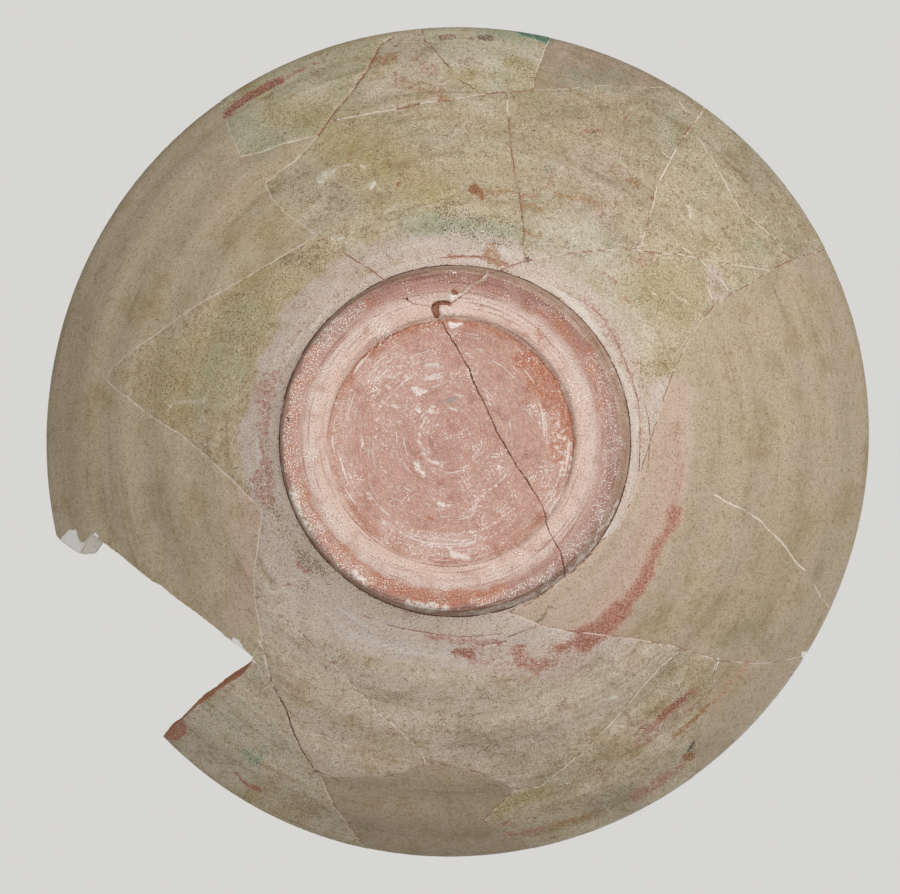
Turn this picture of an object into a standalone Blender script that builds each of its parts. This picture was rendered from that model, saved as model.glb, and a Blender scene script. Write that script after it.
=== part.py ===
"""An earthenware bowl, glued together from its sherds, with four of its losses filled in plaster and one left open.

The bowl stands on its foot, with the centre of the foot's underside at the origin. Units are metres and +Z is up.
The break lines are read in pixels off a view of the bowl from straight below, and laid on the wall's outer side.
"""

import math

import bmesh
import bpy
from mathutils import Vector
from mathutils.geometry import interpolate_bezier

# The bowl's own sizes
RIM_RADIUS = 0.130
HEIGHT = 0.072
RIM_WALL = 0.0052
LOWER_WALL = 0.0080
FLOOR_THICKNESS = 0.0085
FOOT_RADIUS = 0.0522
FOOT_HEIGHT = 0.0060
FOOT_TAPER = 0.0020
FOOT_RING_WIDTH = 0.0130
FOOT_EDGE = 0.0006
RECESS_DEPTH = 0.0015
RECESS_STEP = 0.0008

# The wall's outer curve leaves the foot at one slope and reaches the rim at another
FOOT_SLOPE = math.radians(24)
RIM_SLOPE = math.radians(75)
LOWER_REACH = 0.40
UPPER_REACH = 0.13
FLOOR_REACH = 0.20

# Numbers of straight stretches
TURNS = 80
WALL_STEPS = 10
RIM_STEPS = 4
FLOOR_STEPS = 4

# The view from below that the break lines are read from, in pixels, and how far off it was taken
VIEW_CENTRE = (456.6, 441.0)
VIEW_RIM = 413.4
VIEW_DISTANCE = 1.2

# Break lines on the wall, from one point of the rim to the next, in pixels
GAP_SIDE_BREAK = (
    (222, 103), (226, 120), (240, 156), (262, 152), (300, 143), (318, 136), (297, 158), (265, 185), (270, 197),
    (298, 221), (317, 236), (264, 268), (187, 313), (124, 359), (104, 379), (150, 416), (187, 440), (240, 488),
    (262, 511), (254, 570), (255, 600), (266, 650), (266, 661), (252, 657), (98, 648),
)
LARGE_BREAK = (
    (823, 250), (775, 268), (735, 292), (714, 305), (700, 323), (681, 356), (662, 404), (651, 440), (638, 482),
    (620, 527), (602, 541), (585, 560), (566, 577), (540, 597), (510, 612), (548, 629), (590, 634), (620, 637),
    (668, 645), (718, 660), (706, 715), (694, 777),
)
FRONT_BREAK = (
    (370, 849), (342, 817), (320, 777), (345, 778), (388, 776), (425, 764), (460, 766), (480, 773), (515, 791),
    (482, 820), (532, 847),
)
BACK_RIM_BREAK = ((550, 38), (535, 77), (533, 89), (616, 86), (672, 88))
LOSS_BREAK = ((54, 533), (72, 550), (84, 558), (96, 537), (252, 656), (162, 737))

# How the breaks go through the wall
JOINT_GAP = 0.0003
FOOT_CLEARANCE = 0.0007
LOSS_LEAN = Vector((0.028, 0.032, 0.0))
CUTTER_MARGIN = 0.005
OUTER_REACH = 0.015
ARC_STEP = math.radians(15)

EARTHENWARE = (0.50, 0.43, 0.33)
PLASTER = (0.42, 0.36, 0.27)


def polar(radius, angle):
    """The point at a radius and an angle in the plane of the rim."""
    return Vector((radius * math.cos(angle), radius * math.sin(angle)))


def wall_curve():
    """The wall's outer side from the foot up to the rim, as (radius, height) points."""
    lip = RIM_WALL / 2
    foot = Vector((FOOT_RADIUS, FOOT_HEIGHT))
    rim = Vector((RIM_RADIUS - lip * (1 - math.sin(RIM_SLOPE)), HEIGHT - lip * (1 + math.cos(RIM_SLOPE))))
    span = (rim - foot).length
    lower = foot + polar(LOWER_REACH * span, FOOT_SLOPE)
    upper = rim - polar(UPPER_REACH * span, RIM_SLOPE)
    return [p.to_2d() for p in interpolate_bezier(foot, lower, upper, rim, WALL_STEPS + 1)]


def inner_curve(outer):
    """The wall's inner side from the foot up to the rim, thinner towards the rim."""
    points = []
    for i, point in enumerate(outer):
        before, after = outer[max(i - 1, 0)], outer[min(i + 1, WALL_STEPS)]
        along = (after - before).normalized()
        if i == WALL_STEPS:
            along = polar(1, RIM_SLOPE)
        thickness = LOWER_WALL + (RIM_WALL - LOWER_WALL) * i / WALL_STEPS
        points.append(point + Vector((-along.y, along.x)) * thickness)
    return points


def lip_arc(outer, inner):
    """The round lip between the two sides of the wall, without its ends, from the inner side to the outer."""
    centre = (outer + inner) / 2
    start = math.atan2(inner.y - centre.y, inner.x - centre.x)
    turns = [start - math.pi * i / RIM_STEPS for i in range(1, RIM_STEPS)]
    return [centre + polar(RIM_WALL / 2, turn) for turn in turns]


def profile():
    """The bowl's section, from the middle of its inside, over the rim, to the middle of its underside."""
    outer = wall_curve()
    inner = inner_curve(outer)
    middle = Vector((0, RECESS_DEPTH + FLOOR_THICKNESS))
    edge = inner[0]
    reach = FLOOR_REACH * edge.x
    handle = edge - polar(reach, FOOT_SLOPE)
    floor = interpolate_bezier(middle, middle + Vector((2 * reach, 0)), handle, edge, FLOOR_STEPS + 1)
    face = FOOT_RADIUS - FOOT_TAPER
    recess = face - FOOT_RING_WIDTH
    foot = [
        Vector((face + FOOT_EDGE / 2, FOOT_EDGE)),
        Vector((face - FOOT_EDGE, 0)),
        Vector((recess, 0)),
        Vector((recess - RECESS_STEP, RECESS_DEPTH)),
        Vector((0, RECESS_DEPTH)),
    ]
    inside = [p.to_2d() for p in floor[:-1]] + inner
    return inside + lip_arc(outer[-1], inner[-1]) + outer[::-1] + foot


def turned_shell():
    """The whole bowl without its breaks, turned about the Z axis, as a mesh."""
    points = profile()
    line = bpy.data.meshes.new("section")
    line.from_pydata([(p.x, 0, p.y) for p in points], [(i, i + 1) for i in range(len(points) - 1)], [])
    turning = bpy.data.objects.new("section", line)
    bpy.context.scene.collection.objects.link(turning)
    screw = turning.modifiers.new("turn", "SCREW")
    screw.steps = screw.render_steps = TURNS
    screw.use_merge_vertices = True
    screw.merge_threshold = 0.00001
    shell = bpy.data.meshes.new_from_object(turning.evaluated_get(bpy.context.evaluated_depsgraph_get()))
    bpy.data.objects.remove(turning)
    shell.name = "turned_shell"
    shell.shade_smooth()
    shell.set_sharp_from_angle(angle=math.radians(35))
    return shell


def wall_height(radius):
    """The height of the wall's outer side at a radius."""
    curve = wall_curve()
    if radius <= curve[0].x:
        return curve[0].y
    for low, high in zip(curve, curve[1:]):
        if radius <= high.x:
            return low.y + (high.y - low.y) * (radius - low.x) / (high.x - low.x)
    return curve[-1].y


def on_wall(pixel):
    """The point of the wall's outer side that a pixel of the view from below shows."""
    right, down = pixel[0] - VIEW_CENTRE[0], pixel[1] - VIEW_CENTRE[1]
    share = math.hypot(right, down) / VIEW_RIM
    rim_level = wall_height(RIM_RADIUS)
    radius = share * RIM_RADIUS
    for _ in range(8):
        nearer = (rim_level - wall_height(radius)) / VIEW_DISTANCE
        radius = share * RIM_RADIUS * (1 - nearer)
    radius = max(radius, FOOT_RADIUS + FOOT_CLEARANCE)
    return polar(radius, math.atan2(-down, -right))


def beyond_rim(last, first):
    """Points outside the rim that close an outline, from past its last point back to its first."""
    start, end = math.atan2(last.y, last.x), math.atan2(first.y, first.x)
    turn = (end - start + math.pi) % (2 * math.pi) - math.pi
    count = math.ceil(abs(turn) / ARC_STEP)
    return [polar(RIM_RADIUS + OUTER_REACH, start + turn * i / count) for i in range(count + 1)]


def outline(break_line):
    """A closed outline in the plane of the rim: the break line, carried round outside the rim."""
    points = [on_wall(pixel) for pixel in break_line]
    return points + beyond_rim(points[-1], points[0])


def pushed_out(points, distance):
    """The outline with each of its sides moved outwards by a distance."""
    count = len(points)
    area = sum(points[i - 1].cross(points[i]) for i in range(count))
    outwards = math.copysign(distance, area)
    moved = []
    for i, point in enumerate(points):
        before = (point - points[i - 1]).normalized()
        after = (points[(i + 1) % count] - point).normalized()
        normals = Vector((before.y, -before.x)), Vector((after.y, -after.x))
        middle = normals[0] + normals[1]
        moved.append(point + middle * (2 * outwards / max(middle.length_squared, 0.5)))
    return moved


def apex():
    """Where lines square to the middle of the wall meet the axis, so that breaks go straight through the wall."""
    curve = wall_curve()
    middle = WALL_STEPS // 2
    along = curve[middle + 1] - curve[middle - 1]
    return Vector((0, 0, curve[middle].y + curve[middle].x * along.x / along.y))


def cutter(name, points, tip, collection):
    """A closed block over an outline on the wall, drawn in towards its tip above the bowl."""

    def level(point, height):
        return tip + (point - tip) * ((tip.z - height) / (tip.z - point.z))

    bm = bmesh.new()
    walls = [Vector((p.x, p.y, wall_height(p.length))) for p in points]
    base = bm.faces.new([bm.verts.new(level(p, -CUTTER_MARGIN)) for p in walls])
    lifted = bmesh.ops.extrude_face_region(bm, geom=[base], use_keep_orig=True)["geom"]
    for vert in (v for v in lifted if isinstance(v, bmesh.types.BMVert)):
        vert.co = level(vert.co, HEIGHT + CUTTER_MARGIN)
    bmesh.ops.recalc_face_normals(bm, faces=bm.faces)
    mesh = bpy.data.meshes.new(name)
    bm.to_mesh(mesh)
    bm.free()
    block = bpy.data.objects.new(name, mesh)
    block.hide_render = True
    block.display_type = "WIRE"
    collection.objects.link(block)
    return block


def finish(name, colour, roughness):
    """A plain material of one colour."""
    material = bpy.data.materials.new(name)
    material.use_nodes = True
    shader = material.node_tree.nodes["Principled BSDF"]
    shader.inputs["Base Color"].default_value = (*colour, 1)
    shader.inputs["Roughness"].default_value = roughness
    return material


def piece(name, shell, material, cuts, collection):
    """A piece of the bowl: the turned shell with its cuts, given as (operation, cutter) pairs."""
    mesh = shell.copy()
    mesh.name = name
    mesh.materials.append(material)
    part = bpy.data.objects.new(name, mesh)
    collection.objects.link(part)
    for operation, block in cuts:
        boolean = part.modifiers.new(block.name, "BOOLEAN")
        boolean.operation = operation
        boolean.solver = "EXACT"
        boolean.object = block
    return part


def main():
    """Builds the bowl and its fills."""
    for thing in list(bpy.data.objects):
        bpy.data.objects.remove(thing)
    parts = bpy.data.collections.new("Earthenware bowl")
    cutters = bpy.data.collections.new("Cutters")
    for collection in (parts, cutters):
        bpy.context.scene.collection.children.link(collection)

    shell = turned_shell()
    earthenware = finish("earthenware", EARTHENWARE, 0.7)
    plaster = finish("painted_plaster", PLASTER, 0.85)
    tip = apex()
    loss = cutter("loss", outline(LOSS_BREAK), tip + LOSS_LEAN, cutters)
    fills = {
        "plaster_fill_gap_side": GAP_SIDE_BREAK,
        "plaster_fill_large": LARGE_BREAK,
        "plaster_fill_front": FRONT_BREAK,
        "plaster_fill_back_rim": BACK_RIM_BREAK,
    }
    bowl_cuts = [("DIFFERENCE", loss)]
    for name, break_line in fills.items():
        edge = outline(break_line)
        inside = cutter(name + "_block", edge, tip, cutters)
        room = cutter(name + "_room", pushed_out(edge, JOINT_GAP), tip, cutters)
        bowl_cuts.append(("DIFFERENCE", room))
        fill_cuts = [("INTERSECT", inside)]
        if name == "plaster_fill_gap_side":
            fill_cuts.append(("DIFFERENCE", loss))
        piece(name, shell, plaster, fill_cuts, parts)
    piece("earthenware_bowl", shell, earthenware, bowl_cuts, parts)
    bpy.data.meshes.remove(shell)


main()
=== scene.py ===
"""The looks of a glued earthenware bowl with four plaster fills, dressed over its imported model.

The bowl stands on its foot, and the camera looks straight up at its underside, as the photograph does.
Sizes are metres, +Z is up. A place read off the photograph is a (right, down) pair of its pixels.
"""

import logging
import math
from dataclasses import dataclass, field, replace
from enum import Enum

import bpy
import numpy as np
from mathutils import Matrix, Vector, kdtree, noise
from mathutils.geometry import delaunay_2d_cdt, interpolate_bezier


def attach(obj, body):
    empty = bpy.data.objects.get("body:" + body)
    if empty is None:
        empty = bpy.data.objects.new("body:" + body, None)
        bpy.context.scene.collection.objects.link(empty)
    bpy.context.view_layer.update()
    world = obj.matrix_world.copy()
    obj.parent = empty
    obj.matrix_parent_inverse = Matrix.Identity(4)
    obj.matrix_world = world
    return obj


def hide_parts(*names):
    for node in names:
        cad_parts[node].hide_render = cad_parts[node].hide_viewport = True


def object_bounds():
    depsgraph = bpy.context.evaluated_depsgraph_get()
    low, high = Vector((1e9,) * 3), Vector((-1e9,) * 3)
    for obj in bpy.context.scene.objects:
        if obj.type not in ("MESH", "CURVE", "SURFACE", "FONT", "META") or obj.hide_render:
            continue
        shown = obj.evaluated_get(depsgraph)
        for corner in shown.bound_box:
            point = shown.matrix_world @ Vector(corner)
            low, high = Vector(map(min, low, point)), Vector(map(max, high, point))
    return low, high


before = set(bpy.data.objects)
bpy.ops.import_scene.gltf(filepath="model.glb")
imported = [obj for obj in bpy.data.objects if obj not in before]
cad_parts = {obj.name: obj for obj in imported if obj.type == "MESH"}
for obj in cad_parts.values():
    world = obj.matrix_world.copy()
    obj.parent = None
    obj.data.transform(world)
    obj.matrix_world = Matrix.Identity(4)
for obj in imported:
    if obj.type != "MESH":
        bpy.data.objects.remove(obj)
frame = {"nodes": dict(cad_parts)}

CAD_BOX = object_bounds()
LOG = logging.getLogger("bowl")
MM = 0.001

# A little more than swayed_pixels ever moves a pixel, and the seed of its noise.
MOST_SWAY, SWAY_SEED = 9, 7
# A break's slow and quick waves, and the length over which its ends are held in place, in metres.
SLOW_WAVE, QUICK_WAVE, HELD_END = 0.006, 0.0017, 0.003
# The slow and quick changes in what shows along a joint, in metres.
SLOW_CHANGE, QUICK_CHANGE = 0.0070, 0.0016
# The coarse and the fine grain of a broken edge, in metres.
COARSE_GRAIN, FINE_GRAIN = 0.0022, 0.0008
# The attributes that hold three marks each.
MARK_NAMES = ("wash", "bloom", "crust", "joint")

Pixel = tuple[float, float]
Path = tuple[Pixel, ...]


def linear(code: str) -> tuple[float, float, float, float]:
    """Turns an sRGB hex value to the linear colour that a shader takes.

    Args:
        code: the colour, such as "#b0a188".

    Returns:
        Its linear red, green and blue, and an alpha of 1.
    """
    values = [int(code[i : i + 2], 16) / 255 for i in (1, 3, 5)]
    return (*(v / 12.92 if v <= 0.04045 else ((v + 0.055) / 1.055) ** 2.4 for v in values), 1.0)


def add_node(tree: bpy.types.NodeTree, kind: str, inputs: dict | None = None, **settings) -> bpy.types.Node:
    """Adds a node to a tree with its settings and links.

    Args:
        tree: the node tree.
        kind: the node's type.
        inputs: what each input socket, by name or number, gets: a value, or the socket it is linked from.
        settings: the node's own settings.

    Returns:
        The new node.
    """
    node = tree.nodes.new(kind)
    for name, value in settings.items():
        setattr(node, name, value)
    for name, value in (inputs or {}).items():
        if isinstance(value, bpy.types.NodeSocket):
            tree.links.new(value, node.inputs[name])
        else:
            node.inputs[name].default_value = value
    return node


def smooth(values: np.ndarray) -> np.ndarray:
    """Eases values between 0 and 1, and holds them there outside."""
    held = np.clip(values, 0, 1)
    return held * held * (3 - 2 * held)


def lengths_along(curve: np.ndarray) -> np.ndarray:
    """The length along a curve up to each of its points, which are rows of two."""
    return np.concatenate(([0], np.cumsum(np.hypot(*np.diff(curve, axis=0).T))))


def leftward(line: np.ndarray) -> np.ndarray:
    """The direction square to a line and to its left, at each of its points."""
    tangent = np.gradient(line, axis=0)
    tangent /= np.maximum(np.hypot(*tangent.T), 1e-9)[:, None]
    return np.c_[-tangent[:, 1], tangent[:, 0]]


def finder(points: np.ndarray) -> kdtree.KDTree:
    """A tree that finds the nearest of some flat points."""
    tree = kdtree.KDTree(len(points))
    for i, (x, y) in enumerate(points):
        tree.insert((x, y, 0), i)
    tree.balance()
    return tree


class Region(Enum):
    """The parts that the breaks divide the bowl into. Each but the loss is a piece."""

    BOWL = "earthenware_bowl"
    GAP_SIDE = "plaster_fill_gap_side"
    LARGE = "plaster_fill_large"
    FRONT = "plaster_fill_front"
    BACK_RIM = "plaster_fill_back_rim"
    LOSS = "loss"


class Skin(Enum):
    """The finishes of a piece's faces, in the order of the attribute "finish"."""

    OUTSIDE = 0
    FOOT = 1
    INSIDE = 2
    BREAK = 3


class Joint(Enum):
    """What shows along a line where sherds meet.

    The value is how much white plaster, red clay and brown dirt, and how much they come and go along it.
    """

    CHALK = (1.0, 0.40, 0.0, 0.45)
    WHITE = (1.0, 0.62, 0.20, 0.80)
    PALE = (0.76, 0.60, 0.16, 0.95)
    RED = (0.50, 0.92, 0.30, 0.90)
    BROWN = (0.14, 0.50, 1.0, 0.50)
    MIXED = (0.62, 0.80, 0.62, 0.95)
    RUSTY = (0.0, 1.0, 0.52, 0.50)
    # The dark line of the groove beside the foot. It is also used for painted shade along the foot's lower
    # edge.
    GROOVE = (0.0, 0.42, 0.74, 0.80)
    # Faint lines round the disc's step: the one below is a real line, the others are painted shade.
    FAINT = (0.0, 0.66, 0.34, 0.90)
    SEAM = (0.82, 0.84, 0.0, 0.95)


class Mark(Enum):
    """What a stain is of. The value is the attribute that holds it, and its place there."""

    SLIP = ("wash", 0)
    CLAY = ("wash", 1)
    OLIVE = ("wash", 2)
    GREEN = ("bloom", 0)
    RUST = ("bloom", 1)
    DARK = ("bloom", 2)
    PLASTER = ("crust", 0)
    PALE = ("crust", 1)
    RIM = ("crust", 2)
    WHITE_JOINT = ("joint", 0)
    RED_JOINT = ("joint", 1)
    BROWN_JOINT = ("joint", 2)


@dataclass(frozen=True)
class Crack:
    """A line where sherds meet, or a crack, as the photograph shows it. A few are painted shade instead:
    dark lines along the foot's edge and the disc's step.

    Attributes:
        name: where it is.
        joint: what shows along it.
        width: how wide it shows, in metres.
        depth: how deep it is, in metres.
        path: its points, in pixels.
        turned: whether it was cut on the wheel, so that it runs smoothly.
        skin_deep: whether it is only in the outer skin.
    """

    name: str
    joint: Joint
    width: float
    depth: float
    path: Path
    turned: bool = False
    skin_deep: bool = False

    @property
    def shows_inside(self) -> bool:
        """Whether it goes right through the wall."""
        return not (self.turned or self.skin_deep)


@dataclass(frozen=True)
class Stain:
    """A mark on the surface: a spot, a streak or an area.

    Attributes:
        name: what it is.
        mark: what it is of.
        strength: how strong it is, from 0 to 1.
        width: how far its core reaches from its line, in pixels.
        fade: how far it takes to fade out beyond that, in pixels.
        path: its points, in pixels.
        area: whether the path goes round an area.
        rise: how far it stands up from the surface, in metres.
        skin: the only finish that it lies on, if it keeps to one.
        steady: whether its edge follows its path exactly.
    """

    name: str
    mark: Mark
    strength: float
    width: float
    fade: float
    path: Path
    area: bool = False
    rise: float = 0.0
    skin: Skin | None = None
    steady: bool = False

    def cover(self, pixels: np.ndarray, swayed: np.ndarray, on_foot: np.ndarray) -> np.ndarray:
        """How strongly it covers each of some points.

        Args:
            pixels: the points, in pixels.
            swayed: the same points, moved about a little, which makes its edge uneven.
            on_foot: whether each point is on the foot.

        Returns:
            A value from 0 to its strength for each.
        """
        path = np.array(self.path, float)
        low = path.min(axis=0) - self.width - self.fade - MOST_SWAY
        high = path.max(axis=0) + self.width + self.fade + MOST_SWAY
        near = ((pixels > low) & (pixels < high)).all(axis=1)
        if self.skin:
            near &= on_foot == (self.skin is Skin.FOOT)
        away = distance_to((pixels if self.steady else swayed)[near], path, self.area)
        found = np.zeros(len(pixels))
        found[near] = self.strength * smooth(1 - (away - self.width) / self.fade)
        return found


@dataclass(frozen=True)
class Tone:
    """A change of the ground colour: a whole sherd, or a soft patch.

    Attributes:
        name: where it is.
        colour: its colour, as sRGB hex.
        fade: how far it takes to fade out, in pixels.
        weight: how much of the ground colour it takes the place of.
        path: its points, in pixels. More than three go round an area.
    """

    name: str
    colour: str
    fade: float
    weight: float
    path: Path

    def over(self, colours: np.ndarray, pixels: np.ndarray) -> np.ndarray:
        """Lays it over the colours of points.

        Args:
            colours: the points' linear colours.
            pixels: where the points show.

        Returns:
            The new colours.
        """
        away = distance_to(pixels, np.array(self.path, float), len(self.path) > 3)
        share = self.weight * smooth(1 - away / self.fade)[:, None]
        return colours * (1 - share) + np.array(linear(self.colour)[:3]) * share


def swayed_pixels(pixels: np.ndarray) -> np.ndarray:
    """Moves pixels about by up to a few, so that what is laid over them gets an uneven edge."""
    moved = np.empty_like(pixels)
    for i, (x, y) in enumerate(pixels):
        slow = noise.noise_vector(Vector((x / 19, y / 19, 2.2)))
        quick = noise.noise_vector(Vector((x / 6.5, y / 6.5, 8.7)))
        moved[i] = x + 4.5 * slow.x + 2.4 * quick.x, y + 4.5 * slow.y + 2.4 * quick.y
    return moved


def distance_to(points: np.ndarray, path: np.ndarray, area: bool) -> np.ndarray:
    """Measures how far points are from a path.

    Args:
        points: the points.
        path: the path's points.
        area: whether the path goes round an area, inside which the distance is 0.

    Returns:
        A distance for each point.
    """
    if len(path) == 1:
        return np.hypot(*(points - path[0]).T)
    ends = np.roll(path, -1, axis=0)
    if not area:
        path, ends = path[:-1], ends[:-1]
    nearest = np.full(len(points), np.inf)
    inside = np.zeros(len(points), bool)
    for a, b in zip(path, ends):
        side = b - a
        share = np.clip(((points - a) @ side) / max(side @ side, 1e-12), 0, 1)
        nearest = np.minimum(nearest, np.hypot(*(points - a - share[:, None] * side).T))
        if area and a[1] != b[1]:
            crossing = (points[:, 1] > a[1]) != (points[:, 1] > b[1])
            inside ^= crossing & (points[:, 0] < a[0] + (points[:, 1] - a[1]) * side[0] / side[1])
    nearest[inside] = 0
    return nearest


@dataclass(frozen=True)
class Side:
    """One side of the wall, as a curve from the bowl's axis to the top of its rim.

    Attributes:
        radius: the distance of its points from the axis.
        height: their height.
        facing: -1 for the outer side, 1 for the inner side.
        along: the length along the curve up to each point.
    """

    radius: np.ndarray
    height: np.ndarray
    facing: int
    along: np.ndarray = field(init=False)

    def __post_init__(self) -> None:
        """Measures the length along the curve."""
        object.__setattr__(self, "along", lengths_along(np.c_[self.radius, self.height]))

    @property
    def length(self) -> float:
        """The length from the axis to the top of the rim."""
        return float(self.along[-1])

    def at(self, along: np.ndarray) -> tuple[np.ndarray, np.ndarray]:
        """The radius and height at lengths along the curve."""
        return np.interp(along, self.along, self.radius), np.interp(along, self.along, self.height)

    def normal(self, along: np.ndarray) -> tuple[np.ndarray, np.ndarray]:
        """The outward and upward parts of the surface's direction at lengths along the curve."""
        out, up = np.gradient(self.radius, self.along), np.gradient(self.height, self.along)
        size = np.hypot(out, up)
        turned = -self.facing * up / size, self.facing * out / size
        return tuple(np.interp(along, self.along, part) for part in turned)


@dataclass(frozen=True)
class Section:
    """The bowl's section, in metres. The rim's radius and the height come from the frame.

    Attributes:
        rim_radius: the radius over the lip.
        height: the height of the lip's top.
        rim_wall: how thick the wall is at the rim.
        lower_wall: how thick it is above the foot.
        floor_thickness: how thick the floor is in the middle.
        foot_radius: the foot's radius where it meets the wall.
        foot_height: how high the foot is.
        foot_taper: how much narrower the foot is at its underside.
        foot_ring_width: how wide the ring is that the bowl stands on.
        foot_edge: how far the foot's lower edge is worn back.
        recess_depth: how far the middle of the underside is sunk.
        recess_step: how wide the step down to it is.
        foot_slope: how steeply the wall leaves the foot.
        rim_slope: how steeply it reaches the rim.
        lower_reach: how far the slope at the foot holds, as a share of the wall.
        upper_reach: how far the slope at the rim holds.
        floor_reach: how far the slope at the floor's edge holds, as a share of its radius.
        floor_match: up to what share of the foot's radius the lengths on both sides are the same.
        steps: how many steps the wall has.
        softening: how far the foot's edges are rounded.
    """

    rim_radius: float
    height: float
    rim_wall: float = 0.0052
    lower_wall: float = 0.0080
    floor_thickness: float = 0.0085
    foot_radius: float = 0.0522
    foot_height: float = 0.0060
    foot_taper: float = 0.0020
    foot_ring_width: float = 0.0130
    foot_edge: float = 0.0006
    recess_depth: float = 0.0015
    recess_step: float = 0.0008
    foot_slope: float = math.radians(24)
    rim_slope: float = math.radians(75)
    lower_reach: float = 0.40
    upper_reach: float = 0.13
    floor_reach: float = 0.20
    floor_match: float = 0.7
    steps: int = 150
    softening: float = 0.0005

    def wall(self) -> tuple[np.ndarray, np.ndarray]:
        """The wall between the foot and the lip.

        Returns:
            The outer and the inner side, each as rows of radius and height.
        """
        lip = self.rim_wall / 2
        foot = Vector((self.foot_radius, self.foot_height))
        drop = Vector((lip * (1 - math.sin(self.rim_slope)), lip * (1 + math.cos(self.rim_slope))))
        rim = Vector((self.rim_radius, self.height)) - drop
        span = (rim - foot).length
        rise, steep = (Vector((math.cos(a), math.sin(a))) for a in (self.foot_slope, self.rim_slope))
        lower = foot + rise * self.lower_reach * span
        upper = rim - steep * self.upper_reach * span
        outer = np.array([p[:2] for p in interpolate_bezier(foot, lower, upper, rim, self.steps + 1)])
        thickness = np.linspace(self.lower_wall, self.rim_wall, self.steps + 1)[:, None]
        return outer, outer + leftward(outer) * thickness

    def lip(self, outer: np.ndarray, inner: np.ndarray) -> tuple[np.ndarray, np.ndarray]:
        """The round lip.

        Args:
            outer: the outer side's upper end.
            inner: the inner side's upper end.

        Returns:
            The lip from the outer end to its top, and from the inner end to its top.
        """
        centre, reach = (outer + inner) / 2, (inner - outer) / 2
        top = np.array([reach[1], -reach[0]])
        turns = np.linspace(0, math.pi / 2, 14)[1:, None]
        return tuple(centre + side * np.cos(turns) + top * np.sin(turns) for side in (-reach, reach))

    def sides(self) -> tuple[Side, Side]:
        """The outer and the inner side from the axis to the top of the rim."""
        outer, inner = self.wall()
        outer_lip, inner_lip = self.lip(outer[-1], inner[-1])
        face = self.foot_radius - self.foot_taper
        recess = face - self.foot_ring_width
        foot = [
            (0, self.recess_depth),
            (recess - self.recess_step, self.recess_depth),
            (recess, 0),
            (face - self.foot_edge, 0),
            (face + self.foot_edge / 2, self.foot_edge),
        ]
        below = np.concatenate((foot, outer, outer_lip))
        middle = Vector((0, self.recess_depth + self.floor_thickness))
        edge = Vector(inner[0])
        reach = self.floor_reach * edge.x
        handle = edge - Vector((math.cos(self.foot_slope), math.sin(self.foot_slope))) * reach
        floor = interpolate_bezier(middle, middle + Vector((2 * reach, 0)), handle, edge, 40)
        above = np.concatenate(([p[:2] for p in floor[:-1]], inner, inner_lip))
        return Side(*self.softened(below).T, -1), Side(*above.T, 1)

    def softened(self, curve: np.ndarray) -> np.ndarray:
        """Rounds the foot's edges.

        Args:
            curve: the outer side, as rows of radius and height.

        Returns:
            The same curve in finer steps, with worn corners at the foot.
        """
        along = lengths_along(curve)
        fine = np.arange(0, along[-1], self.softening / 4)
        dense = np.c_[np.interp(fine, along, curve[:, 0]), np.interp(fine, along, curve[:, 1])]
        kernel = np.hanning(9)
        kernel /= kernel.sum()
        worn = np.c_[tuple(np.convolve(part, kernel, "same") for part in dense.T)]
        near_foot = (dense[:, 0] > self.foot_radius / 2) & (dense[:, 0] < self.foot_radius * 1.1)
        return np.concatenate((np.where(near_foot[:, None], worn, dense), curve[-1:]))

    def through(self, outer: Side, inner: Side) -> tuple[np.ndarray, np.ndarray]:
        """Which lengths on the two sides face each other through the wall."""
        even = self.foot_radius * self.floor_match
        rings = []
        for side, wall in zip((outer, inner), self.wall()):
            lip = side.length - self.rim_wall * math.pi / 4
            start = lip - np.hypot(*np.diff(wall, axis=0).T).sum()
            rings.append(np.concatenate(([0, even], start + lengths_along(wall), [side.length])))
        return tuple(rings)


@dataclass(frozen=True)
class PhotoView:
    """The photograph's view: from straight below, in its own pixels.

    Attributes:
        rim_radius: the rim's radius, in metres.
        frame: the photograph's width and height.
        rim_centre: where the rim's middle shows.
        rim_pixels: the radius at which the rim shows.
        distance: how far the camera is below the rim's widest level, in metres.
        rim_level: the height of that level, in metres.
    """

    rim_radius: float
    frame: tuple[int, int] = (900, 894)
    rim_centre: Pixel = (456.5, 441.0)
    rim_pixels: float = 413.4
    distance: float = 1.2
    rim_level: float = 0.0687

    @property
    def focal(self) -> float:
        """The focal length in pixels."""
        return self.rim_pixels / self.rim_radius * self.distance

    @property
    def eye(self) -> np.ndarray:
        """The camera's place."""
        scale = self.distance / self.focal
        right = (self.rim_centre[0] - self.frame[0] / 2) * scale
        up = (self.rim_centre[1] - self.frame[1] / 2) * scale
        return np.array([right, up, self.rim_level - self.distance])

    def project(self, places: np.ndarray) -> np.ndarray:
        """The pixels at which places show."""
        offset = places - self.eye
        scale = self.focal / offset[:, 2]
        return np.c_[self.frame[0] / 2 - offset[:, 0] * scale, self.frame[1] / 2 - offset[:, 1] * scale]

    def meet(self, pixels: np.ndarray, height: np.ndarray) -> np.ndarray:
        """Where the lines of sight of pixels pass through heights, as rows of x and y."""
        away = (height - self.eye[2]) / self.focal
        middle = np.array(self.frame) / 2
        return self.eye[:2] + (middle - pixels) * away[:, None]


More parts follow.
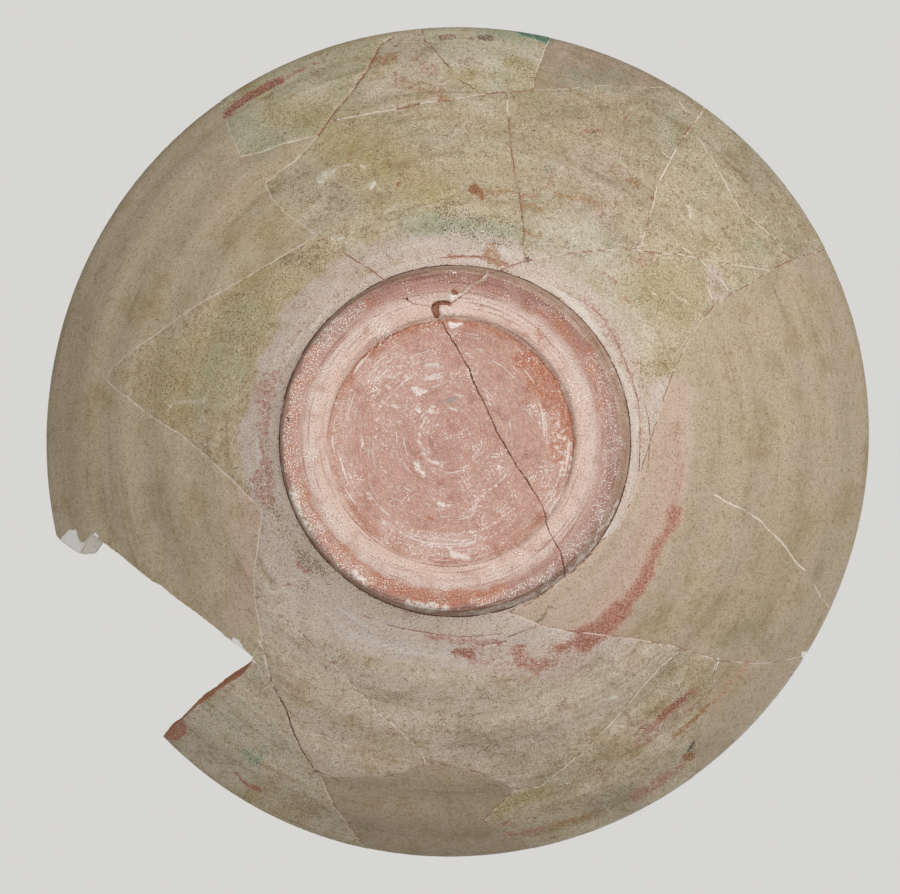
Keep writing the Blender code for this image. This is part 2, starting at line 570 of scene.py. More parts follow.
@dataclass(frozen=True)
class TurnedForm:
    """The bowl's form: its section turned about the axis, with the unevenness of hand work.

    Attributes:
        section: the bowl's section.
        view: the photograph's view.
        swell: how far the rim is out of round, as (waves round the rim, height in pixels, turn in degrees).
        foot_shift: how far the foot's underside and its joint with the wall are off the axis.
        rim_wave: how far the rim rises and falls.
        settling: over what length above the foot that shift dies out.
        rounds: how many times a sight line's point on the side is worked out again, each time more closely.
        outer: the outer side.
        inner: the inner side.
        facing: which lengths on the two sides face each other.
    """

    section: Section
    view: PhotoView
    swell: tuple[tuple[int, float, float], ...] = ((2, 2.61, -63.2), (3, 1.57, -14.1), (4, 0.37, -40.8))
    foot_shift: tuple[float, float] = (0.0017, 0.0005)
    rim_wave: float = 0.0004
    settling: float = 0.020
    rounds: int = 14
    outer: Side = field(init=False)
    inner: Side = field(init=False)
    facing: tuple[np.ndarray, np.ndarray] = field(init=False)

    def __post_init__(self) -> None:
        """Works out the two sides."""
        outer, inner = self.section.sides()
        object.__setattr__(self, "outer", outer)
        object.__setattr__(self, "inner", inner)
        object.__setattr__(self, "facing", self.section.through(outer, inner))

    @property
    def joint_length(self) -> float:
        """The length along the outer side at which the foot meets the wall."""
        return float(self.facing[0][2])

    def roundness(self, angle: np.ndarray) -> np.ndarray:
        """How much wider than round the rim is at angles, as a share of its radius."""
        seen = angle - math.pi
        waves = [high * np.cos(n * (seen - math.radians(turn))) for n, high, turn in self.swell]
        return sum(waves) / self.view.rim_pixels

    def shift(self, along: np.ndarray) -> np.ndarray:
        """How far the outer side is moved off the axis at lengths along it."""
        joint = self.joint_length
        edge = joint - self.section.foot_height
        return np.interp(along, [edge, joint, joint + self.settling], [*self.foot_shift, 0])

    def place(self, side: Side, flat: np.ndarray) -> tuple[np.ndarray, np.ndarray]:
        """Puts points of an unrolled side in their place on the bowl.

        Args:
            side: the side.
            flat: the points on the unrolled side, as rows of x and y.

        Returns:
            Their places, and the surface's directions there.
        """
        along, angle = np.hypot(*flat.T), np.arctan2(flat[:, 1], flat[:, 0])
        radius, height = side.at(along)
        out, up = side.normal(along)
        share = (radius / self.section.rim_radius) ** 2
        radius = radius * (1 + self.roundness(angle) * share)
        height = height + self.rim_wave * share * np.sin(2 * angle + 1) * (height > self.section.foot_height)
        shift = self.shift(along) if side is self.outer else 0
        places = np.c_[radius * np.cos(angle) + shift, radius * np.sin(angle), height]
        return places, np.c_[out * np.cos(angle), out * np.sin(angle), up]

    def unroll(self, pixels: np.ndarray) -> np.ndarray:
        """Finds the points of the unrolled outer side that pixels show.

        Args:
            pixels: the pixels.

        Returns:
            The points, as rows of x and y.
        """
        side = self.outer
        widest = int(np.argmax(side.radius))
        height = np.full(len(pixels), self.view.rim_level)
        along = np.full(len(pixels), side.along[widest])
        for _ in range(self.rounds):
            x, y = self.view.meet(pixels, height).T
            x = x - self.shift(along)
            angle = np.arctan2(y, x)
            radius = np.hypot(x, y)
            share = np.minimum(radius / self.section.rim_radius, 1) ** 2
            radius = radius / (1 + self.roundness(angle) * share)
            along = np.interp(radius, side.radius[: widest + 1], side.along[: widest + 1])
            height = side.at(along)[1]
        return np.c_[along * np.cos(angle), along * np.sin(angle)]

    def across(self, flat: np.ndarray) -> np.ndarray:
        """The points of the unrolled inner side that face points of the unrolled outer side."""
        along = np.hypot(*flat.T)
        return flat * (np.interp(along, *self.facing) / np.maximum(along, 1e-9))[:, None]


def wavered(path: np.ndarray, step: float, sway: float) -> np.ndarray:
    """Turns a path into a fine line that wavers as a break does, with its ends held in place.

    Args:
        path: the path's points.
        step: the distance between the line's points.
        sway: how far it wavers.

    Returns:
        The line's points.
    """
    along = lengths_along(path)
    count = max(2, round(along[-1] / step) + 1)
    fine = np.linspace(0, along[-1], count)
    line = np.c_[np.interp(fine, along, path[:, 0]), np.interp(fine, along, path[:, 1])]
    if count < 3:
        return line
    waves = np.array([
        noise.noise(Vector((x / SLOW_WAVE, y / SLOW_WAVE, 0.3)))
        + 0.6 * noise.noise(Vector((x / QUICK_WAVE, y / QUICK_WAVE, 7.1)))
        for x, y in line
    ])
    waves *= np.clip(np.minimum(fine, along[-1] - fine) / HELD_END, 0, 1)
    return line + leftward(line) * (sway * waves)[:, None]


class Scatter:
    """Points on an unrolled side, which keep their distance from those that came before."""

    def __init__(self) -> None:
        """Starts with no points."""
        self.points = np.zeros((0, 2))

    def add(self, points: np.ndarray, apart: float = 0.0) -> np.ndarray:
        """Adds points.

        Args:
            points: the points.
            apart: how far they keep from those already there. Nearer ones are left out.

        Returns:
            The numbers of the points that were added.
        """
        if apart and len(self.points):
            nearest = finder(self.points)
            points = np.array([p for p in points if nearest.find((*p, 0))[2] >= apart]).reshape(-1, 2)
        first = len(self.points)
        self.points = np.concatenate((self.points, points))
        return np.arange(first, len(self.points))


@dataclass(frozen=True)
class Chain:
    """A break that goes through the wall, between two regions.

    Attributes:
        name: where it is.
        path: its points, in pixels, from the first region's rim or corner on.
        regions: the two regions that it parts.
        lean: how far its inner edge stands out towards its left, looking along it.
        joint: what shows along it.
        width: how wide it shows.
        depth: how deep its groove is.
        rim_ends: whether its first and its last point are on the rim.
    """

    name: str
    path: Path
    regions: tuple[Region, Region]
    joint: Joint
    lean: float = 0.0
    width: float = 0.00046
    depth: float = 0.00015
    rim_ends: tuple[bool, bool] = (True, True)


CORNER = (253, 657)
CHAINS = {
    "gap_side": Chain(
        "gap-side fill against the bowl",
        (
            (222, 103), (226, 120), (233, 138), (240, 156), (262, 152), (283, 144), (300, 140), (318, 136),
            (297, 158), (281, 170), (265, 183), (273, 200), (285, 212), (298, 221), (317, 236), (290, 252),
            (264, 266), (225, 289), (187, 312), (150, 338), (124, 357), (104, 379), (128, 398), (150, 416),
            (170, 428), (187, 440), (205, 455), (222, 471), (240, 488), (262, 511), (259, 535), (256, 560),
            (254, 580), (255, 600), (259, 622), (262, 640), CORNER,
        ),
        (Region.BOWL, Region.GAP_SIDE),
        Joint.CHALK,
        rim_ends=(True, False),
    ),
    "fill_edge": Chain(
        "gap-side fill against the loss",
        (CORNER, (232, 641), (205, 620), (160, 586), (120, 556), (92, 534), (79, 554), (68, 547), (54, 533)),
        (Region.GAP_SIDE, Region.LOSS),
        Joint.WHITE,
        lean=-0.0018,
        depth=0.0,
        rim_ends=(False, True),
    ),
    "sherd_edge": Chain(
        "bowl against the loss",
        (
            CORNER, (252, 662), (247, 668), (238, 676), (226, 684), (212, 695), (199, 704), (190, 712),
            (176, 726), (163, 736),
        ),
        (Region.LOSS, Region.BOWL),
        Joint.RED,
        lean=0.0006,
        depth=0.0,
        rim_ends=(False, True),
    ),
    "large": Chain(
        "large fill against the bowl",
        (
            (823, 250), (800, 256), (775, 268), (750, 283), (735, 292), (714, 305), (700, 323), (689, 340),
            (681, 356), (670, 382), (662, 404), (656, 422), (651, 440), (644, 460), (638, 482), (629, 507),
            (620, 527), (602, 541), (585, 560), (566, 577), (540, 597), (510, 612), (548, 629), (590, 634),
            (620, 637), (645, 641), (668, 645), (700, 655), (718, 660), (712, 685), (706, 715), (702, 730),
            (697, 755), (694, 777),
        ),
        (Region.BOWL, Region.LARGE),
        Joint.SEAM,
        width=0.0004,
    ),
    "front": Chain(
        "front fill against the bowl",
        (
            (370, 849), (353, 832), (342, 817), (330, 798), (320, 777), (345, 778), (366, 777), (388, 776),
            (408, 770), (425, 764), (443, 765), (460, 766), (480, 773), (498, 782), (515, 791), (500, 806),
            (482, 820), (505, 834), (532, 847),
        ),
        (Region.BOWL, Region.FRONT),
        Joint.PALE,
        width=0.0004,
    ),
    "back_rim": Chain(
        "back-rim fill against the bowl",
        (
            (550, 38), (545, 48), (541, 60), (535, 77), (533, 89), (560, 89), (585, 87), (617, 85),
            (645, 87), (672, 88),
        ),
        (Region.BOWL, Region.BACK_RIM),
        Joint.WHITE,
        width=0.0004,
    ),
}
OUTLINES = {
    Region.GAP_SIDE: (("gap_side", 1), ("fill_edge", 1)),
    Region.LOSS: (("fill_edge", -1), ("sherd_edge", 1)),
    Region.LARGE: (("large", 1),),
    Region.FRONT: (("front", 1),),
    Region.BACK_RIM: (("back_rim", 1),),
}


def arc(centre: Pixel, radius: float, start: float, end: float, points: int = 18) -> Path:
    """Gives the points of an arc in the photograph.

    Args:
        centre: its centre, in pixels.
        radius: its radius, in pixels.
        start: where it starts, in degrees clockwise from the right.
        end: where it ends.
        points: how many points it has.

    Returns:
        Its points, in pixels.
    """
    turns = np.radians(np.linspace(start, end, points))
    return tuple((centre[0] + radius * math.cos(t), centre[1] + radius * math.sin(t)) for t in turns)


# The middles of the foot, of its joint with the wall, of the disc inside its ring and of the disc's arcs.
FOOT_CENTRE = (450.9, 441.0)
JOINT_CENTRE = (455.0, 441.0)
DISC_CENTRE = (450.5, 443.0)
SCRATCH_CENTRE = (447.0, 437.0)
# How wide and how deep cracks are, in metres.
HAIR, FINE, WIDE = 0.00034, 0.00046, 0.0007
SHALLOW, OPEN = 0.0001, 0.0003
# Where two cracks come close, the earlier one keeps its points.
CRACKS = (
    Crack("top rim, left", Joint.RED, WIDE, OPEN, (
        (392, 38), (381, 44), (377, 50), (373, 58), (367, 71), (352, 92), (338, 107), (325, 126),
        (318, 136))),
    Crack("top rim, middle", Joint.RED, FINE, OPEN, (
        (422, 30), (424, 40), (430, 43), (436, 52), (444, 62), (452, 70))),
    Crack("top, across", Joint.SEAM, WIDE, SHALLOW, (
        (328, 122), (350, 118), (375, 113), (395, 110), (415, 105), (430, 102), (450, 101), (478, 95),
        (505, 92))),
    Crack("top, across, right end", Joint.SEAM, FINE, SHALLOW, ((505, 92), (520, 91), (533, 89))),
    Crack("near the foot, upper left", Joint.RED, FINE, SHALLOW, (
        (317, 236), (339, 249), (352, 258), (362, 264), (382, 278), (396, 284))),
    Crack("top, down to the foot", Joint.WHITE, FINE, SHALLOW, ((506, 92), (508, 110), (509, 128))),
    Crack("top, down to the foot, lower part", Joint.RED, FINE, SHALLOW, (
        (509, 128), (510, 140), (514, 165), (519, 193), (523, 220), (524, 235), (522, 248), (526, 258))),
    Crack("right, level", Joint.SEAM, FINE, SHALLOW, (
        (526, 261), (540, 258), (560, 254), (600, 250), (637, 250), (685, 256), (712, 260))),
    Crack("right, level, its end", Joint.WHITE, HAIR, SHALLOW, ((712, 260), (735, 265), (769, 270))),
    Crack("right, up to the rim", Joint.WHITE, FINE, SHALLOW, (
        (638, 249), (645, 235), (648, 222), (655, 200), (657, 185), (663, 175), (671, 160), (678, 145),
        (690, 130), (700, 115), (704, 108))),
    Crack("right, down from the branch", Joint.CHALK, HAIR, SHALLOW, (
        (694, 133), (702, 143), (708, 154), (715, 164), (724, 180), (732, 196), (740, 208), (752, 218),
        (762, 228), (774, 238))),
    Crack("right, its end", Joint.WHITE, FINE, SHALLOW, ((780, 248), (785, 253), (790, 257))),
    Crack("right, wedge", Joint.WHITE, FINE, SHALLOW, (
        (712, 264), (720, 278), (726, 287), (731, 295)), skin_deep=True),
    Crack("left, branch to the front", Joint.WHITE, FINE, SHALLOW, (
        (256, 597), (270, 607), (290, 622), (305, 637), (325, 655), (340, 670), (357, 690), (375, 710),
        (390, 722), (405, 735), (420, 750), (426, 764))),
    Crack("left, down to the rim", Joint.WHITE, FINE, SHALLOW, (
        (258, 640), (264, 650), (268, 668), (273, 686))),
    Crack("left, down to the rim, lower part", Joint.MIXED, FINE, SHALLOW, (
        (268, 664), (273, 686), (286, 710), (294, 732), (302, 750), (312, 768), (320, 777))),
    Crack("front, side twig", Joint.RED, HAIR, SHALLOW, (
        (286, 710), (294, 716), (306, 724)), skin_deep=True),
    Crack("front, scratch over the fill", Joint.PALE, HAIR, SHALLOW, (
        (306, 734), (325, 737), (346, 745)), skin_deep=True),
    Crack("front, dark edge beside the fill", Joint.BROWN, HAIR, SHALLOW, (
        (314, 770), (326, 776), (338, 781)), skin_deep=True),
    Crack("right, short crack at the joint", Joint.WHITE, HAIR, SHALLOW, (
        (663, 152), (671, 159)), skin_deep=True),
    Crack("upper right, short crack", Joint.PALE, HAIR, SHALLOW, (
        (620, 115), (629, 120), (637, 128)), skin_deep=True),
    Crack("right, short crack at the rim", Joint.WHITE, HAIR, SHALLOW, (
        (680, 103), (686, 110)), skin_deep=True),
    Crack("right, short crack over the level one", Joint.WHITE, FINE, SHALLOW, (
        (676, 244), (684, 249), (690, 253)), skin_deep=True),
    Crack("right of the foot, spur", Joint.PALE, HAIR, SHALLOW, ((640, 479), (655, 480)), skin_deep=True),
    Crack("right, side of the wedge", Joint.WHITE, FINE, SHALLOW, (
        (700, 260), (709, 269), (707, 286), (714, 305)), skin_deep=True),
    Crack("top rim, end of the middle joint", Joint.RED, FINE, SHALLOW, ((458, 78), (472, 87), (480, 94))),
    Crack("star, upper right", Joint.PALE, HAIR, SHALLOW, (
        (620, 110), (626, 117), (634, 125)), skin_deep=True),
    Crack("star, its other ray", Joint.PALE, HAIR, SHALLOW, (
        (632, 108), (626, 117), (622, 124)), skin_deep=True),
    Crack("lower right", Joint.WHITE, FINE, SHALLOW, (
        (680, 650), (660, 668), (645, 685), (635, 698), (612, 724), (585, 748), (555, 775), (540, 787),
        (515, 791))),
    Crack("lower right, branch", Joint.WHITE, HAIR, SHALLOW, (
        (615, 725), (630, 727), (648, 729)), skin_deep=True),
    Crack("large fill, white crack", Joint.CHALK, WIDE, OPEN, (
        (716, 495), (733, 505), (745, 510), (760, 520), (780, 540), (797, 562), (805, 570)), skin_deep=True),
    Crack("large fill, white crack at the rim", Joint.CHALK, FINE, SHALLOW, (
        (815, 585), (822, 598), (829, 607)), skin_deep=True),
    Crack("large fill, plaster joint", Joint.WHITE, HAIR, SHALLOW, (
        (718, 661), (740, 663), (768, 663), (780, 662), (795, 658), (812, 656)), skin_deep=True),
    Crack("foot, across", Joint.RUSTY, FINE, SHALLOW, (
        (440, 320), (447, 330), (455, 345), (462, 358), (470, 370), (474, 382), (479, 393), (485, 405),
        (492, 422), (500, 437), (508, 452), (516, 466), (522, 473), (530, 486), (538, 498), (545, 513),
        (548, 527), (553, 540), (560, 552), (565, 578))),
    Crack("groove where the foot meets the wall", Joint.GROOVE, FINE, SHALLOW,
        arc(JOINT_CENTRE, 175.8, 0, 359.4, 90), turned=True),
    # Painted shade: a dark line along the upper left of the disc's step, where the step falls in shade.
    Crack("edge of the disc, upper left", Joint.FAINT, HAIR, SHALLOW,
        arc(DISC_CENTRE, 122.6, 182, 268, 24), turned=True),
    # Painted shade: a dark line along the right of the disc's step.
    Crack("edge of the disc, right", Joint.FAINT, HAIR, SHALLOW,
        arc(DISC_CENTRE, 122.6, -50, 20, 20), turned=True),
    Crack("edge of the disc, below", Joint.FAINT, HAIR, SHALLOW,
        arc(DISC_CENTRE, 123.2, 66, 144, 24), turned=True),
    # Painted shade: a dark line along the lower edge of the foot, where its side is in shade.
    Crack("dark edge of the foot, below", Joint.GROOVE, HAIR, SHALLOW,
        arc(FOOT_CENTRE, 170.4, 42, 150, 40), turned=True),
    Crack("dark edge of the foot, above", Joint.GROOVE, HAIR, SHALLOW,
        arc(FOOT_CENTRE, 170.4, 205, 262, 24), turned=True),
    Crack("turned line, right of the foot", Joint.RED, HAIR, SHALLOW, (
        (563, 290), (582, 301), (600, 315), (612, 332), (620, 350), (627, 366), (632, 380), (638, 400),
        (640, 420), (640, 440), (639, 480)), turned=True),
    Crack("second turned line", Joint.RED, HAIR, SHALLOW, (
        (645, 405), (649, 422), (650, 440), (648, 470)), turned=True),
    Crack("turned line below the foot", Joint.RED, HAIR, SHALLOW, (
        (365, 616), (382, 623), (400, 628), (430, 633), (460, 637), (480, 636), (500, 634)), turned=True),
    Crack("turned line, lower right of the foot", Joint.RED, HAIR, SHALLOW, (
        (508, 637), (522, 632), (536, 627)), turned=True),
    Crack("short turned line", Joint.RED, HAIR, SHALLOW, ((480, 646), (492, 644), (504, 642)), turned=True),
    Crack("turned line above the foot", Joint.RED, HAIR, SHALLOW, (
        (440, 258), (456, 256), (475, 256), (492, 259), (508, 264)), turned=True),
    Crack("foot, from the hole", Joint.RED, FINE, SHALLOW, ((452, 303), (469, 291), (500, 270), (525, 261))),
    Crack("foot, left of the hole", Joint.RED, HAIR, SHALLOW, ((432, 307), (414, 303), (404, 299))),
)

GROUND = "#c3b397"
TONES = (
    Tone("upper left rim sherd", "#c1b697", 4, 0.9, (
        (222, 103), (240, 156), (283, 144), (318, 136), (338, 107), (373, 58), (392, 38), (330, 50),
        (270, 75))),
    Tone("top rim sherd", "#c8b8a0", 4, 0.9, (
        (318, 136), (338, 107), (373, 58), (392, 38), (422, 30), (452, 70), (470, 97), (430, 102),
        (328, 122))),
    Tone("top rim sherd, right", "#cbbfa4", 4, 0.9, (
        (422, 30), (520, 28), (550, 38), (535, 77), (533, 89), (505, 92), (470, 95), (452, 70), (436, 52))),
    Tone("middle sherd", "#c0b095", 4, 0.9, (
        (328, 122), (415, 105), (505, 92), (514, 165), (523, 220), (526, 258), (460, 255), (396, 284),
        (352, 258), (317, 236), (273, 200), (265, 183), (297, 158), (318, 136))),
    Tone("upper right sherd", "#b8a78c", 4, 0.9, (
        (506, 92), (533, 89), (672, 88), (704, 108), (690, 130), (671, 160), (657, 185), (648, 222),
        (638, 249), (600, 250), (526, 261), (523, 220), (514, 165))),
    Tone("right rim sherd", "#b9a98d", 5, 0.8, (
        (704, 108), (694, 133), (726, 186), (762, 228), (794, 258), (823, 250), (800, 190), (750, 140))),
    Tone("triangle sherd", "#beaa8b", 4, 0.9, (
        (104, 379), (187, 312), (264, 266), (317, 236), (362, 264), (396, 284), (330, 320), (290, 380),
        (275, 405), (262, 511), (240, 488), (170, 428))),
    Tone("sherd below the foot", "#cdbba8", 6, 0.9, (
        (255, 598), (262, 511), (300, 560), (370, 620), (460, 637), (540, 597), (590, 634), (680, 650),
        (635, 698), (585, 748), (515, 791), (460, 766), (426, 764), (382, 718), (330, 657))),
    Tone("sherd below the foot, left", "#cfbca8", 4, 0.9, (
        (255, 598), (300, 632), (345, 675), (395, 727), (426, 764), (366, 777), (320, 777), (294, 733),
        (270, 672))),
    Tone("lower left rim sherd", "#c6b6a0", 4, 0.9, (
        (253, 657), (264, 650), (278, 692), (300, 748), (320, 777), (353, 832), (300, 820), (220, 770),
        (163, 736))),
    Tone("lower right rim sherd", "#bbaa8e", 4, 0.9, (
        (680, 650), (718, 660), (706, 715), (694, 777), (640, 800), (532, 847), (482, 820), (515, 791),
        (635, 698))),
    Tone("yellow middle", "#b8a170", 38, 0.6, ((340, 150), (400, 165), (440, 195))),
    Tone("cold green edge by the foot", "#abab90", 26, 0.55, ((410, 224), (470, 232), (520, 232))),
    Tone("pale below the level crack", "#c9bfae", 24, 0.6, ((545, 240), (600, 232), (630, 300), (640, 350))),
    Tone("brown under the back rim fill", "#a8977a", 30, 0.5, ((540, 110), (620, 120), (680, 140))),
    Tone("pinkish, upper right", "#c0a993", 44, 0.7, ((585, 150), (610, 190))),
    Tone("pale, left of the lower sherd", "#dccab9", 18, 0.8, ((278, 612), (292, 634))),
    Tone("pale below the foot, left", "#dccabb", 20, 0.7, ((318, 612), (345, 622))),
    Tone("pale, lower left rim sherd", "#d8cab7", 24, 0.6, ((222, 712), (258, 736))),
    Tone("yellow, right rim sherd", "#bdae86", 24, 0.6, ((730, 215), (745, 235))),
    Tone("dull rim, right", "#9f9076", 26, 0.5, ((742, 150), (760, 175))),
    Tone("warm inner corner", "#c6b09d", 30, 0.6, ((250, 425), (262, 470))),
    Tone("dull lower middle", "#b09c86", 34, 0.6, ((500, 755), (545, 745), (470, 740))),
    Tone("dull front rim", "#a8967c", 22, 0.5, ((300, 800), (380, 835))),
    Tone("cream band, upper left rim", "#d6c9b0", 16, 0.7, ((250, 105), (290, 92), (325, 90))),
    Tone("yellow, upper left", "#b09e72", 13, 0.8, ((300, 118), (325, 116))),
    Tone("dull left end of the middle sherd", "#a6967c", 26, 0.6, ((285, 185), (320, 190), (355, 200))),
    Tone("pale crown, top", "#d2c6b2", 14, 0.7, ((440, 56), (480, 58))),
    Tone("pale above the level crack", "#d4c9b5", 22, 0.7, ((550, 226), (590, 228))),
    Tone("pale right of the foot", "#dacdbe", 18, 0.8, ((645, 335), (645, 365))),
    Tone("pale at the branch", "#cfc3aa", 12, 0.7, ((700, 135), (716, 148))),
    Tone("pinkish between the lower right cracks", "#d6c2b3", 24, 0.9, ((625, 735), (655, 730))),
    Tone("dull rim, lower right", "#9f8f77", 22, 0.7, ((600, 805), (640, 800))),
    Tone("brown at the joint, left", "#9f8a6f", 14, 0.6, ((290, 262), (312, 262))),
    Tone("greyer green above the foot", "#9c9c84", 16, 0.6, ((430, 228), (470, 232))),
)
FILL_GROUNDS = {
    Region.GAP_SIDE: "#c2b196",
    Region.LARGE: "#c1af96",
    Region.FRONT: "#b29f87",
    Region.BACK_RIM: "#b19d85",
}
FILL_TONES = {
    Region.GAP_SIDE: (
        Tone("pale upper end", "#c6b195", 40, 0.5, ((235, 165), (215, 215))),
        Tone("pink inner edge", "#ccb09f", 34, 0.6, ((246, 500), (250, 560), (240, 610))),
        Tone("dull outer edge", "#b19f82", 40, 0.5, ((75, 330), (62, 430), (80, 500))),
        Tone("dull lower corner", "#ab987b", 28, 0.6, ((160, 490), (195, 560))),
    ),
    Region.LARGE: (
        Tone("dull lower end", "#b5a384", 50, 0.6, ((800, 520), (770, 590), (730, 625))),
        Tone("warm upper end", "#c6af98", 50, 0.4, ((780, 300), (740, 360))),
    ),
    Region.FRONT: (Tone("pale crown", "#bba88f", 40, 0.5, ((420, 800), (400, 790))),),
    Region.BACK_RIM: (Tone("pale inner end", "#b3a289", 26, 0.5, ((570, 75), (610, 80))),),
}

# What lies on the wall round the foot, and not on the foot.
ROUND_THE_FOOT = (
    Stain("pink slip round the foot", Mark.SLIP, 0.66, 0, 26, (
        (300, 300), (345, 266), (400, 245), (450, 240), (500, 246), (540, 264), (588, 296), (626, 350),
        (646, 410), (650, 470), (640, 530), (620, 580), (628, 640), (560, 668), (500, 666), (440, 655),
        (370, 648), (322, 626), (284, 590), (268, 540), (262, 470), (256, 420), (270, 350)), area=True),
    Stain("thick slip above the foot", Mark.SLIP, 0.80, 5, 10, (
        (372, 262), (400, 251), (440, 246), (480, 248), (505, 254))),
    Stain("thick slip, left of the foot", Mark.SLIP, 0.8, 5, 12, ((300, 320), (283, 350), (272, 380))),
    Stain("thick slip below the foot", Mark.SLIP, 0.92, 10, 18, (
        (306, 575), (326, 600), (360, 628), (400, 643), (450, 650), (500, 648))),
    Stain("thick slip, far left of the foot", Mark.SLIP, 0.80, 6, 14, ((262, 400), (250, 440), (262, 500))),
    Stain("pale channel beside the foot, right", Mark.SLIP, 0.9, 3, 4, arc(JOINT_CENTRE, 181, -70, 42)),
    Stain("rub in the channel, right", Mark.PALE, 0.62, 1.2, 2.8, arc(JOINT_CENTRE, 180, -66, 36)),
    Stain("rub in the channel, top", Mark.PALE, 0.50, 0.8, 2.6, arc(JOINT_CENTRE, 180, -140, -70)),
    Stain("rub in the channel, left", Mark.PALE, 0.66, 0.6, 2.2, arc(JOINT_CENTRE, 178.5, 150, 215)),
    Stain("rub in the channel, below", Mark.PALE, 0.40, 1.2, 3, arc(JOINT_CENTRE, 180, 70, 140)),
    Stain("red scuffs along the turned line", Mark.CLAY, 0.62, 0.8, 3.6, (
        (582, 301), (600, 315), (612, 332), (620, 350), (627, 366), (633, 382))),
    Stain("red scuffs, lower", Mark.CLAY, 0.50, 0.6, 3.6, ((637, 395), (641, 420), (641, 445))),
    Stain("pale channel beside the foot, top", Mark.SLIP, 0.9, 3, 4, arc(JOINT_CENTRE, 181, -150, -80)),
    Stain("pale channel beside the foot, left", Mark.SLIP, 0.8, 3, 5, arc(JOINT_CENTRE, 183, 140, 210)),
    # Painted shade: the groove and the channel beside the foot are darkened on all sides but the right,
    # which faces the light.
    Stain("grime in the groove", Mark.OLIVE, 0.55, 1, 3, arc(JOINT_CENTRE, 177.5, 60, 300, 40)),
    Stain("shade in the channel", Mark.DARK, 0.46, 2, 7, arc(JOINT_CENTRE, 178, 40, 288, 44)),
    Stain("rust in the channel", Mark.RUST, 0.30, 3, 8, arc(JOINT_CENTRE, 179, 100, 290, 40)),
    Stain("brown dash by the foot", Mark.RUST, 0.8, 1, 3, ((535, 622), (552, 608))),
    Stain("bare clay left of the foot", Mark.CLAY, 0.60, 0, 6, (
        (277, 368), (270, 372), (257, 382), (256, 400), (260, 420), (260, 450), (264, 450), (268, 425),
        (273, 400)), area=True),
    Stain("bare clay, lower", Mark.CLAY, 0.66, 0, 6, (
        (264, 450), (256, 470), (252, 480), (258, 500), (270, 508), (277, 500), (272, 480)), area=True),
    Stain("bare clay, upper left of the foot", Mark.CLAY, 0.5, 1, 6, ((300, 326), (285, 352), (279, 375))),
    Stain("olive crust by the foot", Mark.OLIVE, 0.95, 5, 9, ((300, 553), (318, 570))),
    Stain("dull run down to it", Mark.OLIVE, 0.75, 4, 12, ((272, 500), (284, 530), (300, 553))),
    Stain("scalloped slip edge", Mark.PALE, 0.55, 1, 4, (
        (356, 650), (395, 662), (430, 660), (470, 667), (500, 672), (560, 675), (590, 662))),
    Stain("specks beside the foot, upper right", Mark.PALE, 0.42, 14, 20, (
        (560, 275), (610, 300), (640, 345))),
    Stain("scuffs, upper right of the foot", Mark.CLAY, 0.42, 6, 16, ((590, 300), (625, 345), (640, 385))),
    Stain("olive patch, upper right of the foot", Mark.OLIVE, 0.6, 14, 24, ((640, 290), (690, 285))),
)
